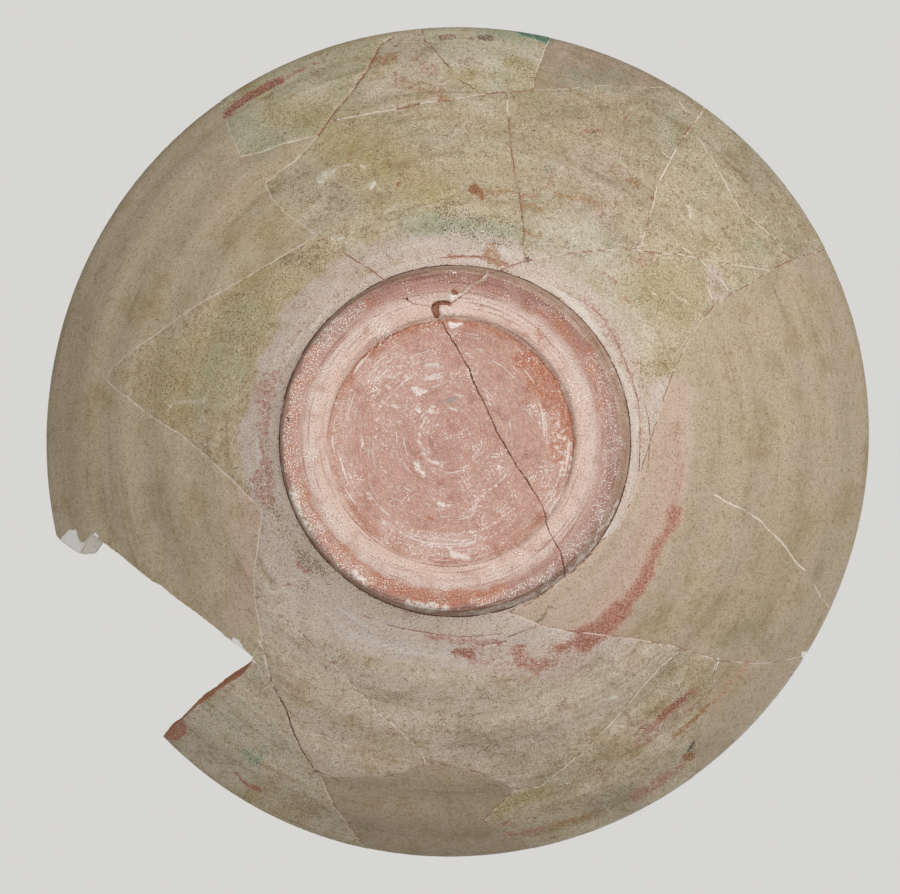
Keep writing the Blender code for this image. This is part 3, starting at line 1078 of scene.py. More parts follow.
# What lies farther out.
OVER_THE_WALL = (
    Stain("brown bloom, lower left of the foot", Mark.CLAY, 0.34, 6, 14, ((272, 530), (282, 552))),
    # The large fill's painted zone.
    Stain("pink zone of the large fill", Mark.SLIP, 0.85, 13, 26, (
        (672, 400), (672, 450), (664, 490), (650, 530), (628, 565), (600, 596), (560, 622))),
    Stain("faint end of the red arc", Mark.CLAY, 0.56, 1.0, 11, (
        (677, 425), (680, 470), (675, 510), (667, 532))),
    Stain("red arc on the large fill", Mark.CLAY, 0.88, 1.0, 11, (
        (675, 510), (667, 532), (655, 555), (645, 572), (634, 590), (620, 606), (600, 622), (580, 636))),
    Stain("red bloom inside the arc", Mark.CLAY, 0.38, 8, 26, (
        (668, 450), (660, 510), (640, 555), (610, 600))),
    Stain("red patch, lower end of the arc", Mark.CLAY, 0.92, 6, 12, ((582, 642), (602, 630), (622, 610))),
    Stain("red patch, upper part", Mark.CLAY, 0.90, 3, 10, ((622, 610), (640, 586), (648, 568))),
    Stain("red blotches below the foot", Mark.CLAY, 0.74, 4, 10, (
        (518, 650), (521, 661), (536, 666), (552, 662))),
    Stain("red blotches, right of them", Mark.CLAY, 0.86, 2, 7, ((556, 648), (570, 646), (580, 638))),
    Stain("pale bloom among the blotches", Mark.PALE, 0.56, 3, 6, ((538, 652), (548, 656))),
    Stain("red blotch beside them", Mark.CLAY, 0.9, 3, 5, ((458, 651), (470, 655))),
    Stain("thin red above that blotch", Mark.CLAY, 0.7, 0.8, 4, (
        (425, 634), (450, 640), (478, 642), (500, 641))),
    Stain("loose red specks below the foot", Mark.CLAY, 0.5, 12, 18, ((480, 652), (520, 668), (575, 662))),
    # The streaks and spots of the lower right.
    Stain("red streak, lower right", Mark.CLAY, 0.98, 2.4, 3.4, (
        (660, 718), (666, 711), (674, 705), (682, 699)), steady=True),
    Stain("dark middle of the red streak", Mark.DARK, 0.56, 1.8, 3, (
        (662, 716), (670, 708), (680, 701)), steady=True),
    Stain("thin ends of the red streak", Mark.CLAY, 0.80, 0.8, 3, (
        (650, 730), (660, 718), (682, 699), (692, 690)), steady=True),
    Stain("faint streak beside it", Mark.CLAY, 0.62, 1.2, 3.6, ((640, 740), (650, 728), (656, 722))),
    Stain("red streaks around it", Mark.CLAY, 0.55, 5, 12, ((640, 740), (668, 716), (696, 694))),
    Stain("brown line, lower right", Mark.DARK, 0.46, 0.8, 3.6, (
        (750, 662), (735, 680), (712, 703)), steady=True),
    Stain("red under that line", Mark.CLAY, 0.60, 1.2, 4, ((750, 662), (735, 680), (712, 703))),
    Stain("brown line, lower half", Mark.RUST, 0.80, 1.0, 3.4, (
        (708, 705), (692, 722), (673, 738)), steady=True),
    Stain("orange hole", Mark.RUST, 1.0, 3.8, 1.8, ((687, 757), (691, 757)), rise=-0.0003, steady=True),
    Stain("dark slit in the hole", Mark.DARK, 1.0, 1.3, 1.8, (
        (689, 752), (691, 747), (694, 741)), rise=-0.0004, steady=True),
    Stain("rim streaks, lower right", Mark.CLAY, 0.66, 2.2, 7, (
        (634, 797), (650, 788), (668, 777), (684, 766))),
    Stain("dark core of the rim streaks", Mark.DARK, 0.46, 1.2, 5, ((636, 796), (655, 785), (682, 768))),
    Stain("front rim streak", Mark.RUST, 0.75, 1.2, 4, ((558, 826), (575, 821), (590, 816))),
    Stain("front rim streak, left", Mark.CLAY, 0.75, 1, 4, ((506, 836), (525, 834), (546, 829))),
    Stain("front rim spot", Mark.CLAY, 0.7, 1, 4, ((500, 824), (512, 822))),
    Stain("dark front joint", Mark.OLIVE, 0.8, 3, 9, ((498, 812), (520, 800), (545, 790))),
    # The top.
    Stain("red-brown arc, upper left", Mark.CLAY, 0.95, 2.4, 3.2, (
        (225, 115), (236, 105), (248, 97), (262, 89), (272, 84), (281, 80)), steady=True),
    Stain("dark brown along the arc", Mark.DARK, 0.62, 2.0, 3.2, (
        (226, 116), (237, 106), (249, 98), (263, 90), (280, 81)), steady=True),
    Stain("its thin end", Mark.CLAY, 0.72, 0.4, 3.6, ((281, 80), (294, 73), (306, 67)), steady=True),
    Stain("spots past its end", Mark.CLAY, 0.75, 0.9, 4, ((313, 65), (318, 63))),
    Stain("dark rim spot, left", Mark.CLAY, 0.62, 1.6, 2.8, (
        (440, 37.4), (447, 36.8), (454, 36.6)), steady=True),
    Stain("its dark middle", Mark.DARK, 0.74, 1.6, 2.6, ((441, 37.4), (454, 36.6)), steady=True),
    Stain("dark rim spot, right", Mark.CLAY, 0.62, 2.0, 2.8, (
        (480, 37.6), (486, 37.4), (492, 38)), steady=True),
    Stain("the right one's dark middle", Mark.DARK, 0.84, 2.0, 2.6, ((480, 37.6), (491, 38)), steady=True),
    Stain("teal rim", Mark.GREEN, 1.0, 3.8, 3.6, ((521, 31), (536, 35), (549, 40)), steady=True),
    Stain("brown band, top", Mark.RUST, 0.42, 4, 9, ((390, 84), (410, 86), (426, 84))),
    Stain("brown streak, top", Mark.RUST, 0.55, 0.8, 4, ((376, 63), (388, 61), (398, 58))),
    Stain("ring of specks by the crack", Mark.DARK, 0.50, 2, 5, ((496, 108), (500, 116))),
    Stain("pale rub by the crack", Mark.PALE, 0.60, 1.4, 4, ((484, 104), (494, 103))),
    Stain("pale smudge, middle", Mark.PALE, 0.55, 1.5, 5, ((432, 174), (438, 172))),
    Stain("pale streak, middle", Mark.PALE, 0.50, 0.8, 4, ((454, 158), (466, 157))),
    Stain("pale spot beside the pit", Mark.PLASTER, 0.8, 0.7, 1.8, ((455, 130),)),
    Stain("pale spots by the arc", Mark.PALE, 0.62, 2, 5, ((558, 172), (564, 170))),
    Stain("grey-green spot by them", Mark.GREEN, 0.75, 3, 5, ((548, 170),)),
    Stain("brown arc beside it", Mark.CLAY, 0.50, 1.6, 5, ((546, 163), (553, 176), (543, 187), (533, 196))),
    Stain("ring-shaped rub", Mark.PALE, 0.60, 0.6, 2.4, (
        (546, 193), (552, 194), (552, 199), (546, 198), (546, 193))),
    Stain("brown dash, upper right", Mark.RUST, 0.7, 0.8, 3, ((620, 165), (626, 169))),
    Stain("brown dash, right", Mark.RUST, 0.7, 0.8, 3, ((630, 182), (638, 185))),
    Stain("brown patch under the level crack", Mark.CLAY, 0.55, 4, 7, ((644, 260), (652, 260))),
    Stain("pink wedge at the fill", Mark.SLIP, 0.55, 1, 6, (
        (708, 266), (716, 268), (729, 291), (716, 303), (709, 290)), area=True),
    Stain("pale rub beside the wedge", Mark.PALE, 0.55, 1, 4, ((660, 258), (671, 266))),
    Stain("ochre patch right of the foot", Mark.OLIVE, 0.62, 12, 20, ((650, 285), (672, 300), (680, 312))),
    Stain("ochre specks in it", Mark.RUST, 0.36, 10, 16, ((655, 290), (680, 308))),
    Stain("red dashes right of the foot", Mark.CLAY, 0.75, 0.6, 2.6, ((606, 272), (612, 277), (616, 282))),
    Stain("red dash near them", Mark.CLAY, 0.7, 0.6, 2.6, ((628, 263), (634, 267))),
    Stain("red dash, lower", Mark.CLAY, 0.65, 0.6, 2.6, ((620, 296), (630, 304))),
    Stain("green bloom by the right rim", Mark.GREEN, 0.5, 4, 10, ((756, 244), (762, 248))),
    Stain("white specks, right of the cracks", Mark.PLASTER, 0.75, 0.7, 1.8, ((710, 243),)),
    Stain("white speck under them", Mark.PLASTER, 0.75, 0.7, 1.8, ((723, 253),)),
    Stain("white speck, upper right", Mark.PLASTER, 0.7, 0.8, 2, ((696, 178),)),
    Stain("white specks by the ochre patch", Mark.PLASTER, 0.7, 0.7, 1.8, ((653, 293), (654, 294))),
    Stain("white specks, right of the ochre patch", Mark.PLASTER, 0.7, 0.7, 1.8, ((691, 309), (669, 287))),
    Stain("teal, thinner", Mark.GREEN, 0.6, 3, 10, ((480, 30), (508, 33), (525, 42))),
    Stain("olive stain under the teal", Mark.OLIVE, 0.78, 5, 9, ((512, 60), (524, 66), (534, 74))),
    Stain("dark specks in it", Mark.DARK, 0.5, 6, 9, ((510, 58), (530, 72))),
    Stain("olive bloom beside the joint", Mark.OLIVE, 0.6, 8, 20, ((528, 84), (530, 98))),
    Stain("rust near the top joint", Mark.RUST, 0.7, 1.6, 6, ((374, 62), (384, 60), (394, 57))),
    Stain("rust scuffs, top", Mark.CLAY, 0.55, 2, 9, ((414, 60), (424, 68), (436, 72))),
    Stain("rust scuffs, below them", Mark.CLAY, 0.5, 3, 11, ((395, 78), (410, 84), (440, 96))),
    Stain("orange scuff over the crack", Mark.RUST, 0.55, 3, 9, ((428, 96), (440, 90), (444, 99))),
    Stain("yellow bloom, upper left", Mark.OLIVE, 0.62, 6, 20, ((275, 116), (312, 118))),
    Stain("green bloom, upper left", Mark.GREEN, 0.56, 10, 26, ((246, 132), (262, 142))),
    Stain("pinkish bloom, back rim fill", Mark.SLIP, 0.45, 8, 20, ((560, 52), (600, 60), (640, 78))),
    Stain("green bloom, back rim fill", Mark.GREEN, 0.50, 6, 20, ((566, 78), (620, 82))),
    Stain("brown specks, back rim fill", Mark.DARK, 0.46, 12, 20, ((575, 66), (640, 80))),
    Stain("dark specks, upper left", Mark.DARK, 0.40, 10, 22, ((262, 134), (290, 118))),
    Stain("dark specks on the arc", Mark.DARK, 0.62, 1.2, 3, ((228, 114), (248, 98), (272, 85))),
    Stain("green specks, upper left", Mark.GREEN, 0.62, 2, 9, ((276, 98), (296, 88))),
    Stain("olive middle", Mark.OLIVE, 0.60, 20, 40, ((340, 130), (370, 150))),
    Stain("olive patch beside the ridge", Mark.OLIVE, 0.55, 6, 18, ((370, 190), (410, 196), (450, 190))),
    Stain("yellow beside the crack", Mark.OLIVE, 0.44, 12, 26, ((470, 165), (500, 172))),
    Stain("green bloom, lower middle", Mark.GREEN, 0.44, 10, 26, ((425, 228), (470, 236), (500, 240))),
    Stain("dark specks, lower middle", Mark.DARK, 0.60, 10, 16, ((445, 215), (475, 226), (500, 232))),
    Stain("green bloom right of the crack", Mark.GREEN, 0.36, 6, 18, ((530, 240), (560, 226), (590, 228))),
    Stain("green bloom, upper right", Mark.GREEN, 0.46, 7, 24, ((665, 125), (684, 140))),
    Stain("dark specks, upper right", Mark.DARK, 0.40, 20, 30, ((540, 150), (575, 142))),
    Stain("brown bloom, upper right", Mark.OLIVE, 0.40, 14, 30, ((600, 118), (560, 130))),
    Stain("pink bloom, upper right", Mark.SLIP, 0.26, 16, 34, ((590, 160), (600, 190), (580, 215))),
    Stain("red-brown scuffs, upper right", Mark.CLAY, 0.62, 1.2, 5, ((583, 134), (594, 131), (604, 136))),
    Stain("red-brown scuffs under them", Mark.CLAY, 0.55, 2, 6, ((588, 196), (596, 204), (604, 214))),
    Stain("red-brown scuffs, right of them", Mark.CLAY, 0.50, 2, 6, ((612, 168), (622, 176), (634, 184))),
    Stain("orange-brown blob", Mark.RUST, 0.96, 4.2, 3.6, ((473, 189), (478, 192), (481, 196))),
    Stain("its tail", Mark.RUST, 0.62, 1.0, 5.5, ((482, 194), (498, 189), (515, 192))),
    Stain("its tail beyond the crack", Mark.CLAY, 0.58, 2, 8, ((524, 196), (536, 193), (548, 184))),
    Stain("its far tail", Mark.RUST, 0.65, 1.4, 6, ((557, 193), (570, 196), (582, 199))),
    Stain("rust scuff by the crack", Mark.RUST, 0.7, 1, 4, ((525, 205), (534, 207), (543, 210))),
    Stain("rust scuff by the crack, lower", Mark.RUST, 0.75, 1.2, 4, ((527, 231), (538, 235))),
    Stain("olive-brown patch above the foot", Mark.RUST, 0.72, 5, 8, ((490, 250), (496, 258))),
    Stain("green patch above the foot", Mark.GREEN, 0.75, 4, 9, ((484, 246), (486, 256))),
    Stain("red lines above the foot", Mark.CLAY, 0.8, 0.8, 3, ((450, 256), (475, 256), (505, 262))),
    Stain("brown spot, upper right", Mark.DARK, 0.8, 1.0, 2.6, ((592, 134), (596, 132))),
    Stain("brown spot by the joint", Mark.RUST, 0.9, 1.2, 2.5, ((653, 197),)),
    Stain("brown spots, right", Mark.RUST, 0.8, 1.2, 2.5, ((634, 183),)),
    Stain("brown spot, low right", Mark.RUST, 0.8, 1.0, 2.5, ((563, 205),)),
    Stain("orange star at the joint", Mark.RUST, 0.8, 1.6, 4, ((686, 132), (690, 128))),
    Stain("raised cream ridge", Mark.PALE, 0.72, 3.6, 3.4, (
        (319, 180), (324, 176), (331, 173)), rise=0.0003),
    Stain("its thin end", Mark.PALE, 0.70, 0.8, 3.2, ((332, 173), (340, 168), (352, 165)), rise=0.0002),
    Stain("pink rub at its end", Mark.CLAY, 0.6, 0.8, 3, ((350, 153), (352, 160))),
    # The triangle sherd.
    Stain("olive bloom, triangle sherd", Mark.OLIVE, 0.62, 22, 34, ((170, 385), (225, 350), (270, 290))),
    Stain("green bloom, triangle sherd", Mark.GREEN, 0.46, 12, 30, ((250, 320), (210, 400))),
    Stain("brown specks, triangle sherd", Mark.DARK, 0.50, 9, 18, ((232, 305), (244, 345))),
    Stain("brown specks, triangle sherd, left", Mark.DARK, 0.50, 6, 12, ((165, 382), (182, 392))),
    Stain("brown specks by the joint", Mark.DARK, 0.52, 8, 16, ((290, 262), (320, 254))),
    Stain("red specks, triangle sherd", Mark.RUST, 0.45, 6, 14, ((226, 338), (250, 350))),
    Stain("scraped patch, triangle sherd", Mark.PALE, 0.66, 1.6, 6, ((170, 406), (186, 402), (204, 400))),
    Stain("scraped patch, upper", Mark.PALE, 0.58, 1.0, 6, ((213, 345), (226, 342), (240, 347))),
    Stain("scraped spot, lower", Mark.PALE, 0.64, 1.4, 4, ((206, 444), (214, 446))),
    # The lower left.
    Stain("pale bloom, lower left", Mark.PALE, 0.36, 16, 30, ((290, 640), (330, 600), (380, 690))),
    Stain("brown run, lower left rim", Mark.OLIVE, 0.75, 3, 7, ((254, 790), (247, 800))),
    Stain("red streak, lower left rim", Mark.CLAY, 0.85, 0.7, 3, (
        (235, 775), (240, 779), (246, 784), (262, 792))),
    Stain("grey-green spots, lower left", Mark.GREEN, 0.8, 2, 6, ((244, 752), (258, 760), (262, 749))),
    Stain("dark spot, lower left", Mark.DARK, 0.6, 1.0, 3, ((255, 760), (258, 762))),
    Stain("terracotta chip at the broken rim", Mark.CLAY, 0.95, 1, 4, (
        (161, 737), (172, 726), (183, 721), (184, 730), (172, 738)), area=True),
    Stain("rust in the chip", Mark.RUST, 0.6, 1, 5, ((165, 736), (178, 728))),
    Stain("pale lobes at the corner", Mark.PALE, 0.72, 1.4, 3.6, (
        (266, 583), (268, 592), (277, 595), (286, 589))),
    Stain("pale lobe under them", Mark.PALE, 0.62, 2, 5, ((262, 607), (268, 620), (274, 627))),
    Stain("pale lobe, lowest", Mark.PALE, 0.65, 1.6, 3.4, ((273, 650), (276, 654))),
    Stain("brown spot in the lobes", Mark.CLAY, 0.8, 1.4, 3.4, ((284, 588), (289, 585))),
    Stain("bare clay above the lobes", Mark.CLAY, 0.7, 2, 6, ((298, 565), (308, 572))),
    Stain("white crumb at the break's end", Mark.PLASTER, 0.9, 0.9, 2, ((255, 664),)),
    Stain("pale rubs, lower left", Mark.PALE, 0.5, 1.2, 5, ((270, 672), (284, 690))),
    Stain("green bloom, lower left", Mark.GREEN, 0.42, 10, 26, ((215, 720), (240, 745))),
    Stain("white specks, lower middle", Mark.PALE, 0.38, 20, 30, ((540, 690), (600, 700))),
    # The plaster.
    Stain("white chip at the loss", Mark.PLASTER, 1.0, 0.5, 2.5, (
        (62, 540), (70, 531), (74, 531), (76, 538), (82, 548), (89, 540), (96, 534), (97, 537), (90, 550),
        (84, 559), (72, 551)), area=True, steady=True),
    Stain("white crumbs at the corner", Mark.PLASTER, 1.0, 1.6, 3, ((232, 641), (240, 646), (252, 662))),
    Stain("white patch on the right rim", Mark.PLASTER, 0.9, 1.4, 3, ((804, 655), (808, 662), (806, 670))),
    Stain("white blob, lower right joint", Mark.PLASTER, 0.9, 0.8, 2.6, ((717, 660), (715, 670))),
    Stain("specks by the middle crack", Mark.PLASTER, 0.9, 1.2, 2, ((370, 187), (376, 183))),
    Stain("white rub by the middle crack", Mark.PALE, 0.66, 1.0, 3.6, ((366, 186), (374, 180), (380, 188))),
    Stain("white rub, lower", Mark.PALE, 0.66, 1.0, 4, ((386, 214), (396, 206))),
    Stain("white specks, upper", Mark.PLASTER, 0.8, 1.0, 2, ((358, 167), (364, 168))),
    Stain("white specks, right", Mark.PLASTER, 0.8, 0.8, 2, ((690, 206), (690, 216))),
    Stain("white speck, right", Mark.PLASTER, 0.8, 0.8, 1.8, ((672, 215),)),
    Stain("white speck, right rim", Mark.PLASTER, 0.8, 0.8, 1.8, ((722, 215),)),
    Stain("white speck, low", Mark.PLASTER, 0.8, 1.0, 1.8, ((548, 683),)),
    Stain("white specks, low", Mark.PLASTER, 0.8, 1.0, 1.8, ((603, 699), (618, 698))),
    Stain("white speck, low middle", Mark.PLASTER, 0.8, 1.0, 1.8, ((513, 717),)),
    # The pits.
    Stain("pit, upper left", Mark.DARK, 1.0, 1.0, 2, ((287, 96),), rise=-0.0003),
    Stain("pit, top", Mark.DARK, 1.0, 1.0, 2, ((394, 45),), rise=-0.0003),
    Stain("pit, middle", Mark.DARK, 1.0, 1.0, 2, ((450, 132),), rise=-0.0003),
    Stain("pit below the middle", Mark.RUST, 1.0, 0.9, 2, ((398, 182),), rise=-0.0002),
    Stain("pit, gap-side fill", Mark.DARK, 0.8, 0.7, 1.8, ((156, 320),), rise=-0.0002),
    Stain("pit, large fill", Mark.DARK, 0.8, 0.7, 1.8, ((720, 420),), rise=-0.0002),
    Stain("pit, right", Mark.DARK, 0.9, 0.8, 2, ((744, 245),), rise=-0.0002),
    Stain("pit, right rim", Mark.DARK, 0.9, 0.8, 2, ((808, 247),), rise=-0.0002),
    Stain("pit, front fill", Mark.DARK, 0.9, 0.9, 2, ((351, 826),), rise=-0.0002),
    Stain("pit beside the foot", Mark.DARK, 1.0, 1.6, 2.2, ((526, 260),), rise=-0.0004),
)
# What lies on the foot, and not on the wall.
UNDER_THE_FOOT = (
    Stain("film on the disc", Mark.SLIP, 0.40, 0, 6, arc(DISC_CENTRE, 117, 0, 345, 24), area=True),
    Stain("film, upper left of the disc", Mark.SLIP, 0.52, 10, 22, ((372, 372), (398, 362), (430, 372))),
    Stain("film, left of the disc", Mark.SLIP, 0.50, 8, 20, ((345, 400), (338, 440), (348, 490))),
    Stain("film, bottom of the disc", Mark.SLIP, 0.54, 8, 20, ((390, 530), (430, 548), (480, 545))),
    Stain("film, right of the disc", Mark.SLIP, 0.52, 8, 18, ((550, 420), (560, 455), (548, 500))),
    Stain("film in the middle", Mark.SLIP, 0.46, 4, 16, ((425, 425), (440, 470))),
    Stain("film on the outer ring", Mark.SLIP, 0.30, 6, 10, arc(FOOT_CENTRE, 160, -60, 150, 24)),
    Stain("bare orange edge of the disc", Mark.CLAY, 0.95, 7, 14, arc(DISC_CENTRE, 110, -48, 6)),
    Stain("bare clay, upper right ring", Mark.CLAY, 0.62, 5, 10, arc(FOOT_CENTRE, 158, -55, -12)),
    Stain("brown smears on the cream ring, top", Mark.CLAY, 0.42, 2, 7, (
        (512, 322), (522, 332), (540, 340))),
    Stain("brown smears on the cream ring, upper left", Mark.CLAY, 0.36, 2, 7, (
        (345, 350), (356, 338), (372, 322))),
    Stain("bare clay, lower left ring", Mark.CLAY, 0.76, 5, 9, arc(FOOT_CENTRE, 158, 108, 160)),
    Stain("bare clay, left ring", Mark.CLAY, 0.72, 4, 9, arc(FOOT_CENTRE, 160, 165, 215)),
    Stain("clay lines on the disc's edge", Mark.CLAY, 0.6, 1, 3.5, arc(DISC_CENTRE, 121, -165, -60)),
    Stain("turned arc, middle", Mark.PALE, 0.74, 1.2, 2.6, arc(SCRATCH_CENTRE, 29, 100, 250)),
    Stain("turned arc, outer", Mark.PALE, 0.62, 0.5, 2.2, arc(SCRATCH_CENTRE, 72, 140, 235)),
    Stain("turned arc, top", Mark.PALE, 0.64, 0.5, 2.2, arc(SCRATCH_CENTRE, 85, -125, -70)),
    Stain("turned arc, bottom", Mark.PALE, 0.62, 0.5, 2.2, arc(SCRATCH_CENTRE, 68, 35, 110)),
    Stain("turned arc, lower", Mark.PALE, 0.66, 0.6, 2.2, arc(SCRATCH_CENTRE, 98, 45, 150)),
    Stain("turned arc, lowest", Mark.PALE, 0.62, 0.5, 2.2, arc(SCRATCH_CENTRE, 108, 50, 130)),
    Stain("cream crust on the ring, left", Mark.PALE, 0.72, 3, 8, ((292, 492), (297, 512), (305, 530))),
    Stain("olive in that crust", Mark.OLIVE, 0.8, 3, 8, ((292, 492), (297, 512), (305, 530))),
    Stain("cream crust on the ring, bottom", Mark.PALE, 0.8, 2.5, 5, ((408, 604), (430, 608), (446, 606))),
    Stain("grey bloom, lower right of the ring", Mark.GREEN, 0.45, 5, 14, ((535, 565), (550, 572))),
    Stain("grey smudge, right of the disc", Mark.GREEN, 0.45, 5, 12, ((545, 462), (552, 472))),
    Stain("grey smudge, middle", Mark.GREEN, 0.85, 1.6, 3, ((446, 400), (456, 401))),
    Stain("brown pit, left ring", Mark.DARK, 0.8, 1.4, 3, ((288, 420),), rise=-0.0002),
    Stain("brown spot, upper left ring", Mark.CLAY, 0.9, 3, 4, ((366, 305),)),
    Stain("brown spot, low on the disc", Mark.CLAY, 0.9, 2.5, 4, ((430, 517),)),
    Stain("small red scratch, right", Mark.CLAY, 0.85, 0.5, 3, ((538, 327), (540, 345))),
    Stain("hooked hole, its thin end", Mark.RUST, 1.0, 1.3, 1.8, (
        (449, 303), (444, 302.6), (439, 303), (436, 306)), rise=-0.0004, steady=True),
    Stain("hooked hole, its wide end", Mark.RUST, 1.0, 2.4, 2.0, (
        (436, 305.6), (434.8, 309), (436.6, 314.5)), rise=-0.0008, steady=True),
    Stain("shadow along the hole", Mark.DARK, 0.85, 0.4, 1.6, (
        (450, 303), (443, 301.4), (437, 303), (432.4, 306), (432, 310), (434, 315), (438, 318.5)),
        steady=True),
    Stain("round pit by the hole", Mark.RUST, 0.72, 2.0, 2.2, (
        (453.5, 291.6), (455, 293.4)), rise=-0.0003, steady=True),
    Stain("brown dash, left of the hole", Mark.DARK, 0.8, 0.4, 1.4, ((406.4, 298.5), (407, 301.5))),
    Stain("plaster beside the hole", Mark.PLASTER, 1.0, 0.6, 1.6, ((453.4, 296), (452.6, 303))),
    Stain("plaster beside the pit", Mark.PLASTER, 0.95, 0.6, 1.8, ((454, 298), (459, 297), (463, 295))),
    Stain("plaster speck in the hook", Mark.PLASTER, 0.95, 0.4, 1.4, ((451.6, 309.6),)),
    Stain("plaster in the hole", Mark.PALE, 0.66, 3, 4, ((443, 309), (450, 313), (458, 314))),
    Stain("plaster below the hole", Mark.PLASTER, 1.0, 1.4, 2.4, (
        (450, 325.4), (455, 327.4), (461.4, 325)), rise=0.0002),
    Stain("plaster specks below it", Mark.PLASTER, 0.9, 0.6, 1.6, ((449, 336), (454, 336.4))),
    Stain("olive edge of the plaster line", Mark.OLIVE, 0.7, 2.0, 3, ((464, 292), (475, 284), (484, 276))),
    Stain("plaster up from the hole", Mark.PLASTER, 0.78, 0.6, 2.4, (
        (466, 293), (475, 285), (482, 278), (487, 273)), rise=0.0001),
    # Painted shade: the foot's side is made browner and darker on all sides but the right, which faces the
    # light.
    Stain("grime on the foot's side", Mark.RUST, 0.36, 1, 2.4, arc(FOOT_CENTRE, 172, 70, 290, 40)),
    Stain("pale side of the foot, lower right", Mark.PALE, 0.74, 1.4, 2.4,
        arc(JOINT_CENTRE, 173, 20, 84, 22)),
    # Painted shade: darker along the lower edge of the foot.
    Stain("dark grit at the foot's edge, below", Mark.DARK, 0.44, 1.2, 4,
        arc(FOOT_CENTRE, 168, 72, 128, 16)),
    Stain("terracotta on the ring, below", Mark.CLAY, 0.82, 5, 8, arc(FOOT_CENTRE, 158, 72, 112, 14)),
    Stain("white grit on the ring, below", Mark.PLASTER, 0.60, 3, 7, arc(FOOT_CENTRE, 162, 52, 82, 12)),
    Stain("white grit on the ring, right", Mark.PLASTER, 0.52, 5, 8, arc(FOOT_CENTRE, 161, -30, 45, 20)),
    Stain("white grit on the ring, left", Mark.PLASTER, 0.60, 5, 8, arc(FOOT_CENTRE, 161, 120, 235, 24)),
    Stain("plaster dab, upper left", Mark.PLASTER, 0.85, 1.2, 4, ((414, 388), (420, 393), (428, 394))),
    Stain("plaster dab, beside it", Mark.PLASTER, 0.8, 0.8, 3, ((394, 404), (400, 407))),
    Stain("plaster dab, middle left", Mark.PLASTER, 0.8, 0.8, 3, ((417, 408), (420, 412))),
    Stain("plaster dab, lower left", Mark.PLASTER, 0.85, 1.2, 3.6, ((415, 464), (424, 474))),
    Stain("plaster dab, far left", Mark.PLASTER, 0.8, 0.9, 3, ((361, 441), (364, 448))),
    Stain("plaster dab, bottom", Mark.PALE, 0.85, 2, 7, ((452, 555), (464, 558))),
    Stain("plaster dab, bottom left", Mark.PALE, 0.8, 1.6, 6, ((356, 574), (366, 580))),
    Stain("plaster dab, lower middle", Mark.PLASTER, 0.8, 1.2, 3, ((438, 503), (448, 508))),
    Stain("plaster specks, right", Mark.PALE, 0.55, 6, 12, ((560, 430), (566, 470))),
    Stain("plaster specks, left", Mark.PALE, 0.5, 8, 14, ((398, 380), (380, 400))),
)
# All the stains. Those round the foot and under it keep to their own skin.
STAINS = (
    *(replace(stain, skin=Skin.OUTSIDE) for stain in ROUND_THE_FOOT),
    *OVER_THE_WALL,
    *(replace(stain, skin=Skin.FOOT) for stain in UNDER_THE_FOOT),
)

# The foot's ground colour at distances from its middle, in pixels.
FOOT_RINGS = (
    (0, "#c59688"), (60, "#c79b8b"), (112, "#c59684"), (118, "#bd8a74"), (121.6, "#b2806a"),
    (123.4, "#d8b8a8"), (132, "#e2c6b8"), (144, "#dfc8bd"), (149, "#ceafa2"), (155, "#b78b7c"),
    (163, "#a97c6f"), (168, "#a0776a"), (170, "#bc9a84"), (176, "#c09f8a"),
)
# The ground colours of the inside and of the breaks, for a fill and for the bowl.
INSIDE_GROUNDS = ("#b4a486", "#cdbd9c")
BREAK_GROUNDS = ("#e4dfd6", "#bf7e5d")
# The runs down the inside: their mark, their noise's seed, how many there are and how far they run.
SPLASHES = (
    (Mark.GREEN, 4.0, 2.2, 0.034),
    (Mark.OLIVE, 9.0, 2.6, 0.042),
    (Mark.RUST, 17.0, 3.0, 0.018),
)


class Grain(Enum):
    """The patterns that break up a finish: their size in millimetres and how much finer detail they have."""

    GRIT = (0.45, 1.5)
    SPECK = (1.4, 3.0)
    BLOTCH = (4.8, 5.0)
    CLOUD = (17.0, 4.0)
    PATCH = (9.0, 2.0)
    WIPED = (1.9, 3.0)
    STREAK = (3.2, 3.5)
    SCRATCHED = (0.70, 2.5)


# The grains that run in arcs, and how wide a circle each is read round, in millimetres.
TURNS = {Grain.WIPED: 24.0, Grain.STREAK: 7.0, Grain.SCRATCHED: 1.6}


class Lay(Enum):
    """How a coat's colour goes over what is under it."""

    OVER = "MIX"
    DARKEN = "MULTIPLY"
    LIGHTEN = "SCREEN"


@dataclass(frozen=True)
class Coat:
    """A colour over a finish, with an edge that a grain breaks up.

    Attributes:
        colour: its colour, as sRGB hex.
        grain: the grain that breaks it up.
        bite: how far the grain moves its edge.
        start: from what value it shows.
        full: from what value it hides what is under it. One below the start turns the coat round.
        mark: the mark that it lies on, or nothing where it may lie anywhere.
        opacity: how much it hides at most.
        lay: how its colour goes over the one below.
        patchy: how far it gathers in some places and stays away from others.
    """

    colour: str
    grain: Grain
    bite: float
    start: float
    full: float
    mark: Mark | None = None
    opacity: float = 1.0
    lay: Lay = Lay.OVER
    patchy: float = 0.0


